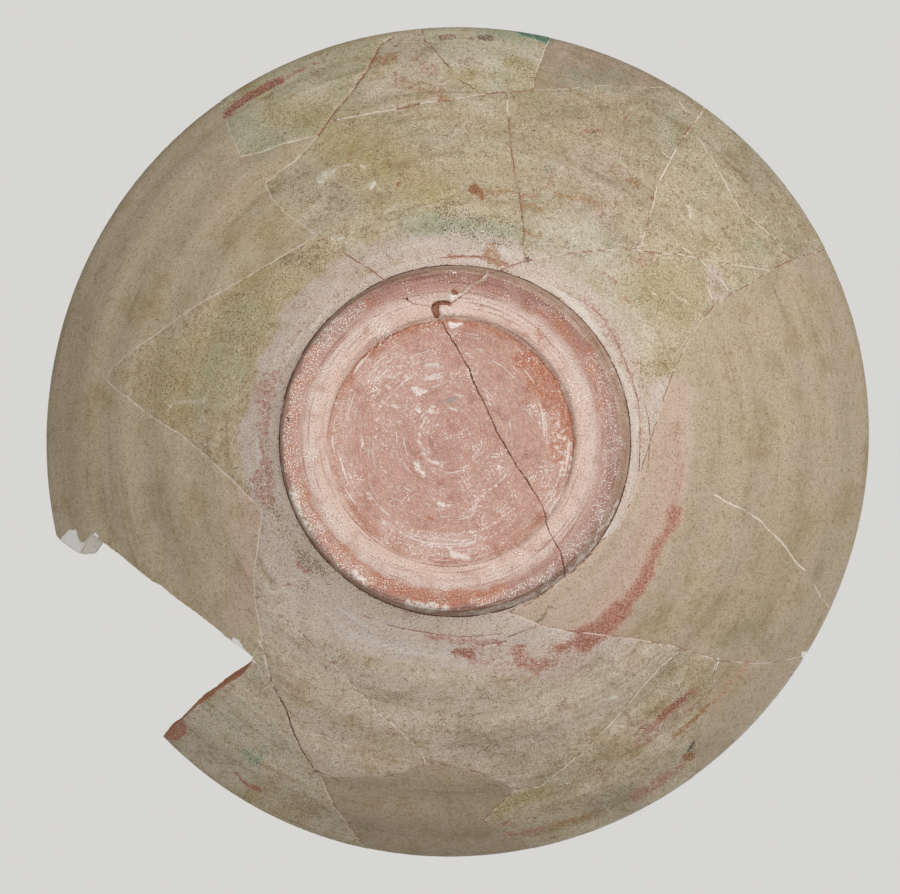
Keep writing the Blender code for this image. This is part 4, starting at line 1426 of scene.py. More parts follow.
@dataclass(frozen=True)
class Finish:
    """A finish of clay or plaster: a ground that the attribute "tone" colours, with coats over it.

    Attributes:
        name: what it is, in a maker's words.
        coats: its coats, from the lowest up.
        roughness: how rough it is at its smoothest and at its roughest.
        relief: how far each grain stands up, in metres.
        specular: how strongly it shines.
    """

    name: str
    coats: tuple[Coat, ...]
    roughness: tuple[float, float]
    relief: tuple[tuple[Grain, float], ...]
    specular: float = 0.35

    def make(self) -> bpy.types.Material:
        """Builds the material."""
        material = bpy.data.materials.new(self.name)
        material.use_nodes = True
        tree = material.node_tree
        shader = tree.nodes["Principled BSDF"]
        grains = self.grains(tree)
        ground = add_node(tree, "ShaderNodeAttribute", attribute_name="tone").outputs["Color"]
        marks = {}
        for name in MARK_NAMES:
            source = add_node(tree, "ShaderNodeAttribute", attribute_name=name)
            marks[name] = add_node(tree, "ShaderNodeSeparateXYZ", {0: source.outputs["Vector"]}).outputs
        for coat in self.coats:
            ground = self.coated(tree, ground, coat, grains, marks)
        tree.links.new(ground, shader.inputs["Base Color"])
        least, most = self.roughness
        rough = add_node(
            tree,
            "ShaderNodeMapRange",
            {
                "Value": grains[Grain.SPECK],
                "From Min": 0.3,
                "From Max": 0.7,
                "To Min": least,
                "To Max": most,
            },
        )
        tree.links.new(rough.outputs[0], shader.inputs["Roughness"])
        shader.inputs["Specular IOR Level"].default_value = self.specular
        height = None
        for grain, rise in self.relief:
            height = add_node(
                tree,
                "ShaderNodeMath",
                {0: grains[grain], 1: rise / MM, 2: height or 0.0},
                operation="MULTIPLY_ADD",
            ).outputs[0]
        bump = add_node(tree, "ShaderNodeBump", {"Height": height, "Distance": MM})
        tree.links.new(bump.outputs["Normal"], shader.inputs["Normal"])
        return material

    def grains(self, tree: bpy.types.NodeTree) -> dict[Grain, bpy.types.NodeSocket]:
        """Adds the grains that the finish uses.

        Args:
            tree: the material's tree.

        Returns:
            Each grain's output.
        """
        place = add_node(tree, "ShaderNodeTexCoord").outputs["Object"]
        mm = add_node(
            tree, "ShaderNodeVectorMath", {0: place, "Scale": 1 / MM}, operation="SCALE"
        ).outputs[0]
        used = {coat.grain for coat in self.coats} | {grain for grain, _ in self.relief} | {Grain.SPECK}
        if any(coat.patchy for coat in self.coats):
            used.add(Grain.PATCH)
        found = {}
        for grain in sorted(used, key=lambda g: g.name):
            where = mm
            if grain in TURNS:
                where = self.ringed(tree, mm, TURNS[grain], grain is Grain.SCRATCHED)
            size, detail = grain.value
            pattern = add_node(
                tree,
                "ShaderNodeTexNoise",
                {"Vector": where, "Scale": 1 / size, "Detail": detail, "Roughness": 0.62},
            )
            found[grain] = pattern.outputs[0]
        return found

    def ringed(
        self, tree: bpy.types.NodeTree, mm: bpy.types.NodeSocket, turns: float, off_centre: bool
    ) -> bpy.types.NodeSocket:
        """Stretches a pattern into arcs round the bowl's axis, as turning and wiping leave it.

        Args:
            tree: the material's tree.
            mm: the place in millimetres.
            turns: how wide a circle the pattern is read round. The smaller, the longer the arcs.
            off_centre: whether the arcs run round the middle of the foot's scratches.

        Returns:
            The place, slow along an arc and quick across it.
        """
        centre = (2.8, 1.2, 0.0) if off_centre else (0.0, 0.0, 0.0)
        moved = add_node(tree, "ShaderNodeVectorMath", {0: mm, 1: centre}, operation="SUBTRACT")
        level = add_node(
            tree, "ShaderNodeVectorMath", {0: moved.outputs[0], 1: (1.0, 1.0, 0.0)}, operation="MULTIPLY"
        ).outputs[0]
        away = add_node(tree, "ShaderNodeVectorMath", {0: level}, operation="LENGTH").outputs["Value"]
        ring = add_node(tree, "ShaderNodeVectorMath", {0: level}, operation="NORMALIZE").outputs[0]
        wide = add_node(
            tree, "ShaderNodeVectorMath", {0: ring, "Scale": turns}, operation="SCALE"
        ).outputs[0]
        rise = add_node(tree, "ShaderNodeCombineXYZ", {"Z": away}).outputs[0]
        return add_node(tree, "ShaderNodeVectorMath", {0: wide, 1: rise}, operation="ADD").outputs[0]

    def coated(
        self, tree: bpy.types.NodeTree, ground: bpy.types.NodeSocket, coat: Coat, grains: dict, marks: dict
    ) -> bpy.types.NodeSocket:
        """Lays a coat over a ground.

        Args:
            tree: the material's tree.
            ground: the colour below.
            coat: the coat.
            grains: each grain's output.
            marks: each attribute's outputs.

        Returns:
            The colour with the coat over it.
        """
        base = marks[coat.mark.value[0]][coat.mark.value[1]] if coat.mark else 0.5
        offset = add_node(
            tree,
            "ShaderNodeMath",
            {0: grains[coat.grain], 1: coat.bite, 2: -coat.bite / 2},
            operation="MULTIPLY_ADD",
        )
        value = add_node(tree, "ShaderNodeMath", {0: base, 1: offset.outputs[0]}, operation="ADD")
        if coat.patchy:
            drift = add_node(tree, "ShaderNodeMath", {0: grains[Grain.PATCH], 1: 0.5}, operation="SUBTRACT")
            value = add_node(
                tree,
                "ShaderNodeMath",
                {0: drift.outputs[0], 1: coat.patchy, 2: value.outputs[0]},
                operation="MULTIPLY_ADD",
            )
        cover = add_node(
            tree,
            "ShaderNodeMapRange",
            {
                "Value": value.outputs[0],
                "From Min": coat.start,
                "From Max": coat.full,
                "To Max": coat.opacity,
            },
            interpolation_type="SMOOTHSTEP",
        )
        mixed = add_node(
            tree,
            "ShaderNodeMix",
            {0: cover.outputs[0], 6: ground, 7: linear(coat.colour)},
            data_type="RGBA",
            blend_type=coat.lay.value,
        )
        return mixed.outputs[2]


JOINT_COATS = (
    Coat("#955d46", Grain.GRIT, 1.1, 0.36, 0.60, Mark.RED_JOINT, 0.84),
    Coat("#573320", Grain.GRIT, 0.6, 0.32, 0.54, Mark.BROWN_JOINT, 0.95),
    Coat("#e9dccd", Grain.GRIT, 1.1, 0.38, 0.60, Mark.WHITE_JOINT, 0.92),
)
# A thin matt clay slip, worn and stained: it scatters light evenly and shows every stain under it.
WORN_SLIP = Finish(
    "worn_slip_on_earthenware",
    (
        Coat("#e2d8b0", Grain.CLOUD, 1.0, 0.50, 0.70, None, 0.62, Lay.DARKEN),
        Coat("#dadccb", Grain.CLOUD, 1.0, 0.48, 0.30, None, 0.62, Lay.DARKEN),
        Coat("#857b6d", Grain.BLOTCH, 1.2, 0.49, 0.72, None, 0.62, Lay.LIGHTEN),
        Coat("#d2c1a4", Grain.BLOTCH, 1.2, 0.46, 0.20, None, 0.50, Lay.DARKEN),
        Coat("#c3b69b", Grain.STREAK, 1.4, 0.53, 0.82, None, 0.54, Lay.DARKEN),
        Coat("#6c675e", Grain.STREAK, 1.4, 0.47, 0.20, None, 0.64, Lay.LIGHTEN),
        Coat("#bcab8c", Grain.SPECK, 1.2, 0.53, 0.74, None, 0.62, Lay.DARKEN),
        Coat("#7d766a", Grain.SPECK, 1.2, 0.47, 0.25, None, 0.70, Lay.LIGHTEN),
        Coat("#b2a16f", Grain.BLOTCH, 0.9, 0.20, 1.00, Mark.OLIVE, 0.72),
        Coat("#a0ab90", Grain.BLOTCH, 0.9, 0.20, 1.00, Mark.GREEN, 0.75),
        Coat("#3f8474", Grain.GRIT, 1.0, 0.74, 0.98, Mark.GREEN, 0.90),
        Coat("#d3c0b6", Grain.BLOTCH, 1.2, 0.25, 0.78, Mark.SLIP, 0.82),
        Coat("#e2d8cf", Grain.STREAK, 1.8, 0.80, 1.16, Mark.SLIP, 0.65),
        Coat("#b17d66", Grain.SPECK, 1.5, 0.32, 0.92, Mark.CLAY, 0.80),
        Coat("#bca98a", Grain.GRIT, 1.0, 0.53, 0.69, None, 0.80, Lay.DARKEN),
        Coat("#845f47", Grain.GRIT, 1.0, 0.66, 0.76, None, 0.46, Lay.OVER, 1.0),
        Coat("#6a5733", Grain.GRIT, 1.9, 0.80, 1.02, Mark.OLIVE, 0.60),
        Coat("#5c6450", Grain.GRIT, 1.9, 0.84, 1.06, Mark.GREEN, 0.42),
        Coat("#985a47", Grain.GRIT, 1.8, 0.66, 1.02, Mark.CLAY, 0.82),
        Coat("#a97f52", Grain.SPECK, 1.2, 0.30, 0.90, Mark.RUST, 0.78),
        Coat("#885431", Grain.GRIT, 1.6, 0.68, 1.04, Mark.RUST, 0.85),
        Coat("#d9d0c0", Grain.SPECK, 1.8, 0.54, 0.96, Mark.PALE, 0.75),
        Coat("#efe9df", Grain.GRIT, 1.9, 0.76, 1.00, Mark.PALE, 0.90),
        Coat("#8c877c", Grain.GRIT, 1.0, 0.47, 0.30, None, 0.88, Lay.LIGHTEN),
        Coat("#ece6da", Grain.GRIT, 1.0, 0.31, 0.25, None, 0.60, Lay.OVER, 0.6),
        Coat("#4f3d30", Grain.GRIT, 2.0, 0.64, 0.92, Mark.DARK, 0.90),
        Coat("#ebe5da", Grain.GRIT, 2.4, 0.60, 0.88, Mark.PLASTER, 0.95),
        Coat("#8f6650", Grain.SPECK, 2.2, 0.58, 1.20, Mark.RIM, 0.78),
        *JOINT_COATS,
    ),
    (0.68, 0.86),
    ((Grain.GRIT, 0.00008), (Grain.SPECK, 0.00015), (Grain.WIPED, 0.00006)),
)
# Bare earthenware turned with a tool: dry and open, with pale lime rubbed into its turning marks.
TURNED_FOOT = Finish(
    "bare_turned_clay",
    (
        Coat("#d3b09d", Grain.BLOTCH, 1.5, 0.50, 0.86, None, 0.60, Lay.DARKEN),
        Coat("#665a51", Grain.BLOTCH, 1.5, 0.51, 0.20, None, 0.75, Lay.LIGHTEN),
        Coat("#bd927d", Grain.SCRATCHED, 1.5, 0.53, 0.78, None, 0.60, Lay.DARKEN),
        Coat("#63584f", Grain.SCRATCHED, 1.5, 0.47, 0.20, None, 0.75, Lay.LIGHTEN),
        Coat("#c4805f", Grain.BLOTCH, 1.3, 0.36, 1.00, Mark.CLAY, 0.75),
        Coat("#a8614a", Grain.GRIT, 1.8, 0.74, 1.12, Mark.CLAY, 0.60),
        Coat("#bb9079", Grain.GRIT, 1.0, 0.53, 0.70, None, 0.80, Lay.DARKEN),
        Coat("#8f5c48", Grain.GRIT, 1.0, 0.70, 0.79, None, 0.45, Lay.OVER, 0.9),
        Coat("#dccbc3", Grain.SPECK, 1.9, 0.40, 1.05, Mark.SLIP, 0.55),
        Coat("#ecdfd6", Grain.SCRATCHED, 2.4, 0.62, 0.86, Mark.SLIP, 0.72),
        Coat("#a08e6a", Grain.SPECK, 1.4, 0.34, 1.00, Mark.OLIVE, 0.75),
        Coat("#8c8f85", Grain.SPECK, 1.4, 0.34, 1.00, Mark.GREEN, 0.70),
        Coat("#f7f2ed", Grain.GRIT, 2.2, 0.68, 0.92, Mark.SLIP, 0.90),
        Coat("#ece0d6", Grain.SPECK, 1.7, 0.46, 0.92, Mark.PALE, 0.85),
        Coat("#8d847b", Grain.GRIT, 1.0, 0.47, 0.30, None, 0.88, Lay.LIGHTEN),
        Coat("#f5efe9", Grain.GRIT, 1.0, 0.33, 0.255, None, 0.85, Lay.OVER, 0.8),
        Coat("#8a5436", Grain.SPECK, 0.7, 0.30, 0.66, Mark.RUST, 0.92),
        Coat("#40281a", Grain.SPECK, 0.9, 0.42, 0.80, Mark.DARK, 0.92),
        Coat("#f3eee7", Grain.GRIT, 2.6, 0.62, 0.90, Mark.PLASTER, 0.95),
        *JOINT_COATS,
    ),
    (0.74, 0.92),
    ((Grain.GRIT, 0.00008), (Grain.SPECK, 0.00010), (Grain.SCRATCHED, 0.00018)),
)
# The same slip, burnished and run over with green, honey and brown: a little smoother than outside.
SPLASHED_INSIDE = Finish(
    "cream_slip_with_splashes",
    (
        Coat("#b9a57c", Grain.CLOUD, 1.6, 0.45, 0.90, None, 0.45),
        Coat("#97a07a", Grain.BLOTCH, 1.0, 0.30, 0.95, Mark.GREEN, 0.55),
        Coat("#b99a62", Grain.BLOTCH, 1.0, 0.30, 0.95, Mark.OLIVE, 0.55),
        Coat("#8d6a4c", Grain.BLOTCH, 1.0, 0.40, 0.95, Mark.RUST, 0.50),
        Coat("#b4a385", Grain.GRIT, 1.0, 0.53, 0.70, None, 0.80, Lay.DARKEN),
        Coat("#6d5a3e", Grain.SPECK, 1.0, 0.68, 0.78, None, 0.4),
        Coat("#8a6650", Grain.SPECK, 1.6, 0.55, 1.05, Mark.RIM, 0.7),
        *JOINT_COATS,
    ),
    (0.38, 0.55),
    ((Grain.GRIT, 0.00003), (Grain.SPECK, 0.00004)),
)
# Earthenware broken across: a granular red body with no slip on it.
BROKEN_CLAY = Finish(
    "broken_clay",
    (
        Coat("#9c6044", Grain.SPECK, 1.4, 0.45, 0.75, None, 0.7),
        Coat("#c79a78", Grain.GRIT, 1.2, 0.60, 0.75, None, 0.7),
    ),
    (0.88, 0.96),
    ((Grain.GRIT, 0.00012), (Grain.SPECK, 0.00018)),
)
# Plaster of Paris, sanded and painted to match the slip: even, chalky and flat, with small pits.
PAINTED_PLASTER = Finish(
    "painted_plaster",
    (
        Coat("#e2d8b8", Grain.CLOUD, 1.0, 0.50, 0.72, None, 0.70, Lay.DARKEN),
        Coat("#dcdccf", Grain.CLOUD, 1.0, 0.48, 0.28, None, 0.70, Lay.DARKEN),
        Coat("#4a4640", Grain.BLOTCH, 1.2, 0.50, 0.78, None, 0.55, Lay.LIGHTEN),
        Coat("#d3c8b3", Grain.STREAK, 1.4, 0.53, 0.86, None, 0.55, Lay.DARKEN),
        Coat("#504c46", Grain.STREAK, 1.4, 0.47, 0.18, None, 0.55, Lay.LIGHTEN),
        Coat("#cfc3aa", Grain.SPECK, 1.1, 0.52, 0.74, None, 0.55, Lay.DARKEN),
        Coat("#57534c", Grain.SPECK, 1.1, 0.46, 0.26, None, 0.55, Lay.LIGHTEN),
        Coat("#d3b8a8", Grain.BLOTCH, 1.0, 0.28, 0.96, Mark.SLIP, 0.80),
        Coat("#a3936c", Grain.BLOTCH, 0.9, 0.20, 1.00, Mark.OLIVE, 0.60),
        Coat("#8d9a82", Grain.BLOTCH, 0.9, 0.20, 1.00, Mark.GREEN, 0.60),
        Coat("#bd8976", Grain.SPECK, 1.0, 0.20, 0.96, Mark.CLAY, 0.78),
        Coat("#a35f4e", Grain.GRIT, 1.6, 0.66, 1.08, Mark.CLAY, 0.78),
        Coat("#8d6a44", Grain.SPECK, 1.2, 0.40, 0.90, Mark.RUST, 0.8),
        Coat("#dfd5c4", Grain.GRIT, 1.7, 0.58, 0.92, Mark.PALE, 0.8),
        Coat("#bdaf91", Grain.GRIT, 1.0, 0.52, 0.70, None, 0.80, Lay.DARKEN),
        Coat("#65615a", Grain.GRIT, 1.0, 0.47, 0.30, None, 0.75, Lay.LIGHTEN),
        Coat("#8c7647", Grain.GRIT, 1.0, 0.68, 0.78, None, 0.30, Lay.OVER, 0.9),
        Coat("#4a3826", Grain.GRIT, 1.2, 0.52, 0.86, Mark.DARK, 0.9),
        Coat("#fbf9f5", Grain.GRIT, 1.2, 0.45, 0.70, Mark.PLASTER),
        Coat("#9a8263", Grain.SPECK, 1.6, 0.55, 1.15, Mark.RIM, 0.55),
        *JOINT_COATS,
    ),
    (0.74, 0.88),
    ((Grain.GRIT, 0.00005), (Grain.SPECK, 0.00008), (Grain.WIPED, 0.00005)),
)
# Plaster of Paris where it was broken or left rough: white, powdery and fully matt.
RAW_PLASTER = Finish(
    "raw_plaster",
    (Coat("#cbc5bb", Grain.GRIT, 1.6, 0.56, 0.90, None, 0.8),),
    (0.90, 0.98),
    ((Grain.GRIT, 0.00008), (Grain.SPECK, 0.00010)),
)


class Lines:
    """The cracks and breaks on one side, found by their distance."""

    def __init__(self, lines: list[tuple[Joint, float, float, np.ndarray]]) -> None:
        """Takes the lines' points, and breaks up what shows along them.

        Args:
            lines: each line's joint, width, depth and points.
        """
        points = np.concatenate([line[3] for line in lines])
        self.sizes = np.concatenate([np.tile(line[1:3], (len(line[3]), 1)) for line in lines])
        value = np.concatenate([np.tile(line[0].value, (len(line[3]), 1)) for line in lines])
        broken = np.array([[self.broken(x, y, part) for part in range(3)] for x, y in points])
        fall = np.clip(value[:, 3:] * (0.30 - 1.2 * broken[:, :1]), 0, 1)
        shown = np.c_[1 - fall, 1 + 0.5 * fall + 0.6 * broken[:, 1:]]
        self.strength = np.clip(value[:, :3] * shown, 0, 1)
        self.tree = finder(points)

    @staticmethod
    def broken(x: float, y: float, part: int) -> float:
        """How far what shows at a point departs from the usual: slow changes with quick ones on them."""
        slow = noise.noise(Vector((x / SLOW_CHANGE, y / SLOW_CHANGE, 3.1 * part)))
        return slow + 0.7 * noise.noise(Vector((x / QUICK_CHANGE, y / QUICK_CHANGE, 5.3 * part + 1)))

    def nearness(self, flat: np.ndarray) -> tuple[np.ndarray, np.ndarray]:
        """How near points are to the lines.

        Args:
            flat: points of the unrolled side.

        Returns:
            For each point, how strongly white, red and brown show, and how deep the groove is there.
        """
        near = np.zeros((len(flat), 3))
        depth = np.zeros(len(flat))
        for i, (x, y) in enumerate(flat):
            _, number, away = self.tree.find((x, y, 0))
            width, deep = self.sizes[number]
            if away < width:
                share = 1 - away / width
                near[i] = share * self.strength[number]
                depth[i] = share * deep
        return near, depth


@dataclass
class BowlMesher:
    """Divides the two sides of the bowl along its breaks and gives each region its triangles.

    Attributes:
        form: the bowl's form.
        outer_spacing: the distance between vertices on the outer wall.
        foot_spacing: the distance under the foot.
        inner_spacing: the distance on the inner side.
        line_step: the distance along a crack.
        rows: how far the rows beside a crack are from it.
        sway: how far a break wavers.
        turned_sway: how much of that a line cut on the wheel does.
        ring_spacing: the distance round a ring where the section turns.
        ring_gaps: how far the rings beside the foot's edge and its joint are from them.
        jitter: how far the grid's points are moved, as a share of their distance.
        rim_points: the number of vertices round the rim.
        small_stain: up to what reach, in pixels, a stain gets points of its own.
        spot_step: how far apart those are, in pixels.
        seed: the seed for the vertices' places.
    """

    form: TurnedForm
    outer_spacing: float = 0.00130
    foot_spacing: float = 0.00085
    inner_spacing: float = 0.0019
    line_step: float = 0.00055
    rows: tuple[float, ...] = (0.00025, 0.00065)
    sway: float = 0.00035
    turned_sway: float = 0.15
    ring_spacing: float = 0.0007
    ring_gaps: tuple[float, float] = (0.0004, 0.0006)
    jitter: float = 0.22
    rim_points: int = 1240
    small_stain: float = 7.2
    spot_step: float = 1.7
    seed: int = 7

    def __post_init__(self) -> None:
        """Lays out the breaks, the rim and the cracks on the unrolled outer side."""
        length = self.form.outer.length
        angles = np.arange(self.rim_points) * 2 * math.pi / self.rim_points
        self.chains: dict[str, np.ndarray] = {}
        self.ends: dict[str, list[int]] = {}
        for key, chain in CHAINS.items():
            flat = self.form.unroll(np.array(chain.path, float))
            numbers = []
            for first, at_rim in zip((True, False), chain.rim_ends):
                if not at_rim:
                    numbers.append(-1)
                    continue
                end = flat[0] if first else flat[-1]
                angle = math.atan2(end[1], end[0]) % (2 * math.pi)
                number = round(angle / (2 * math.pi) * self.rim_points) % self.rim_points
                angles[number] = angle
                top = length * np.array([[math.cos(angle), math.sin(angle)]])
                flat = np.concatenate((top, flat) if first else (flat, top))
                numbers.append(number)
            self.chains[key] = wavered(flat, self.line_step, self.sway)
            self.ends[key] = numbers
        self.rim = length * np.c_[np.cos(angles), np.sin(angles)]
        self.cracks = []
        for crack in CRACKS:
            sway = self.sway * (self.turned_sway if crack.turned else 1)
            self.cracks.append(wavered(self.form.unroll(np.array(crack.path, float)), self.line_step, sway))

    def grid(self, spacing: float, reach: float, start: float = 0.0) -> np.ndarray:
        """A grid of triangles with its points a little out of place.

        Args:
            spacing: the distance between points.
            reach: how far from the middle it goes.
            start: how far from the middle it begins.

        Returns:
            The points.
        """
        rng = np.random.default_rng(self.seed)
        count = int(reach / spacing) + 2
        high = int(count * 1.2)
        across, up = np.meshgrid(np.arange(-count, count + 1), np.arange(-high, high + 1))
        points = np.c_[(across + 0.5 * (up % 2)).ravel(), (up * math.sqrt(0.75)).ravel()] * spacing
        points += rng.uniform(-self.jitter, self.jitter, points.shape) * spacing
        away = np.hypot(*points.T)
        return points[(away < reach) & (away >= start)]

    def beside(self, line: np.ndarray, away: float) -> np.ndarray:
        """The points beside a line at a distance, on both sides."""
        across = leftward(line) * away
        return np.concatenate((line + across, line - across))

    def fine_spots(self) -> np.ndarray:
        """Extra points, on one lattice of pixels, where a stain is too small for the grid."""
        found = []
        for stain in STAINS:
            if stain.width + stain.fade > self.small_stain or stain.area:
                continue
            path = np.array(stain.path, float)
            reach = stain.width + 0.6 * stain.fade
            low = np.floor((path.min(axis=0) - reach) / self.spot_step).astype(int)
            high = np.ceil((path.max(axis=0) + reach) / self.spot_step).astype(int)
            across, down = np.meshgrid(np.arange(low[0], high[0] + 1), np.arange(low[1], high[1] + 1))
            cells = np.c_[across.ravel(), down.ravel()]
            found.append(cells[distance_to(cells * self.spot_step, path, False) < reach])
        cells = np.unique(np.concatenate(found), axis=0)
        return self.form.unroll(cells * self.spot_step)

    def rings(self) -> np.ndarray:
        """Rings of points where the foot's section turns."""
        section = self.form.section
        face = section.foot_radius - section.foot_taper
        recess = face - section.foot_ring_width
        joint = self.form.joint_length
        rings = [recess - section.recess_step, recess, face - section.foot_edge]
        lengths = list(np.interp(rings, self.form.outer.radius, self.form.outer.along))
        edge_gap, joint_gap = self.ring_gaps
        lengths += [lengths[-1] + edge_gap, lengths[-1] + 2 * edge_gap]
        lengths += [joint - joint_gap, joint, joint + joint_gap, joint + 2 * joint_gap]
        found = []
        for length in lengths:
            count = int(2 * math.pi * length / self.ring_spacing)
            turns = np.arange(count) * 2 * math.pi / count
            found.append(length * np.c_[np.cos(turns), np.sin(turns)])
        return np.concatenate(found)

    def divided(self, scatter: Scatter, chains: dict[str, np.ndarray]) -> tuple[np.ndarray, np.ndarray]:
        """Joins the points of an unrolled side by triangles.

        Args:
            scatter: the side's points, of which the first are the rim's.
            chains: the numbers of each break's points.

        Returns:
            The triangles, and the number of the region that each is in.
        """
        count = self.rim_points
        edges = [(i, (i + 1) % count) for i in range(count)]
        for numbers in chains.values():
            edges += list(zip(numbers[:-1].tolist(), numbers[1:].tolist()))
        loops = []
        for outline in OUTLINES.values():
            loop: list[int] = []
            for key, way in outline:
                numbers = chains[key][::way].tolist()
                loop += numbers[1:] if loop else numbers
            turn = (loop[0] - loop[-1] + count // 2) % count - count // 2
            loop += [(loop[-1] + (1 if turn > 0 else -1) * i) % count for i in range(1, abs(turn))]
            x, y = scatter.points[loop].T
            area = np.sum(x * np.roll(y, -1) - np.roll(x, -1) * y)
            loops.append(loop if area > 0 else loop[::-1])
        points = [Vector(p) for p in (scatter.points / MM).tolist()]
        verts, _, faces, origins, _, face_origins = delaunay_2d_cdt(points, edges, loops, 0, 1e-6)
        assert len(verts) == len(points), (len(verts), len(points))
        order = np.array([o[0] for o in origins])
        triangles = order[np.array(faces)]
        names = list(OUTLINES)
        regions = np.array([list(Region).index(names[o[0]]) if o else 0 for o in face_origins])
        return triangles, regions

    def chain_numbers(self, scatter: Scatter, chains: dict[str, np.ndarray]) -> dict[str, np.ndarray]:
        """Adds the breaks' points to a side, so that breaks which meet share a point.

        Args:
            scatter: the side's points so far, the rim's.
            chains: each break's points on the side.

        Returns:
            The numbers of each break's points.
        """
        corner = scatter.add(chains["gap_side"][-1:])[0]
        numbers = {}
        for key, line in chains.items():
            first, last = (n if n >= 0 else corner for n in self.ends[key])
            numbers[key] = np.concatenate(([first], scatter.add(line[1:-1]), [last]))
        return numbers

    def outer_side(self) -> tuple[Scatter, dict[str, np.ndarray]]:
        """The points of the outer side."""
        scatter = Scatter()
        scatter.add(self.rim)
        numbers = self.chain_numbers(scatter, self.chains)
        for line in self.cracks:
            scatter.add(line, 0.0002)
        for line in (*self.chains.values(), *self.cracks):
            for row in self.rows:
                rows = self.beside(line, row)
                scatter.add(rows[np.hypot(*rows.T) < self.form.outer.length - 0.0004], 0.7 * self.rows[0])
        scatter.add(self.rings(), 0.0004)
        scatter.add(self.fine_spots(), 0.0003)
        joint = self.form.joint_length
        scatter.add(self.grid(self.foot_spacing, joint), 0.0005)
        reach = self.form.outer.length - 0.4 * self.outer_spacing
        scatter.add(self.grid(self.outer_spacing, reach, joint), 0.6 * self.outer_spacing)
        return scatter, numbers

    def leaning(self, key: str) -> np.ndarray:
        """A break's points on the unrolled inner side."""
        line = self.form.across(self.chains[key])
        lean = CHAINS[key].lean
        ends = 6
        padded = np.pad(leftward(line), ((ends, ends), (0, 0)), mode="edge")
        mean = np.ones(2 * ends + 1) / (2 * ends + 1)
        across = np.c_[tuple(np.convolve(part, mean, "valid") for part in padded.T)]
        taper = np.clip(np.minimum(np.arange(len(line)), np.arange(len(line))[::-1]) / ends, 0, 1)[:, None]
        return line + across * lean * smooth(taper)

    def inner_side(self) -> tuple[Scatter, dict[str, np.ndarray]]:
        """The points of the inner side."""
        scatter = Scatter()
        scatter.add(self.rim * (self.form.inner.length / self.form.outer.length))
        chains = {key: self.leaning(key) for key in self.chains}
        numbers = self.chain_numbers(scatter, chains)
        inside = [self.form.across(line) for line, crack in zip(self.cracks, CRACKS) if crack.shows_inside]
        for line in inside:
            scatter.add(line, 0.0004)
        for line in (*chains.values(), *inside):
            rows = self.beside(line, self.rows[1])
            scatter.add(rows[np.hypot(*rows.T) < self.form.inner.length - 0.0008], 0.0005)
        reach = self.form.inner.length - 0.5 * self.inner_spacing
        scatter.add(self.grid(self.inner_spacing, reach), 0.6 * self.inner_spacing)
        return scatter, numbers


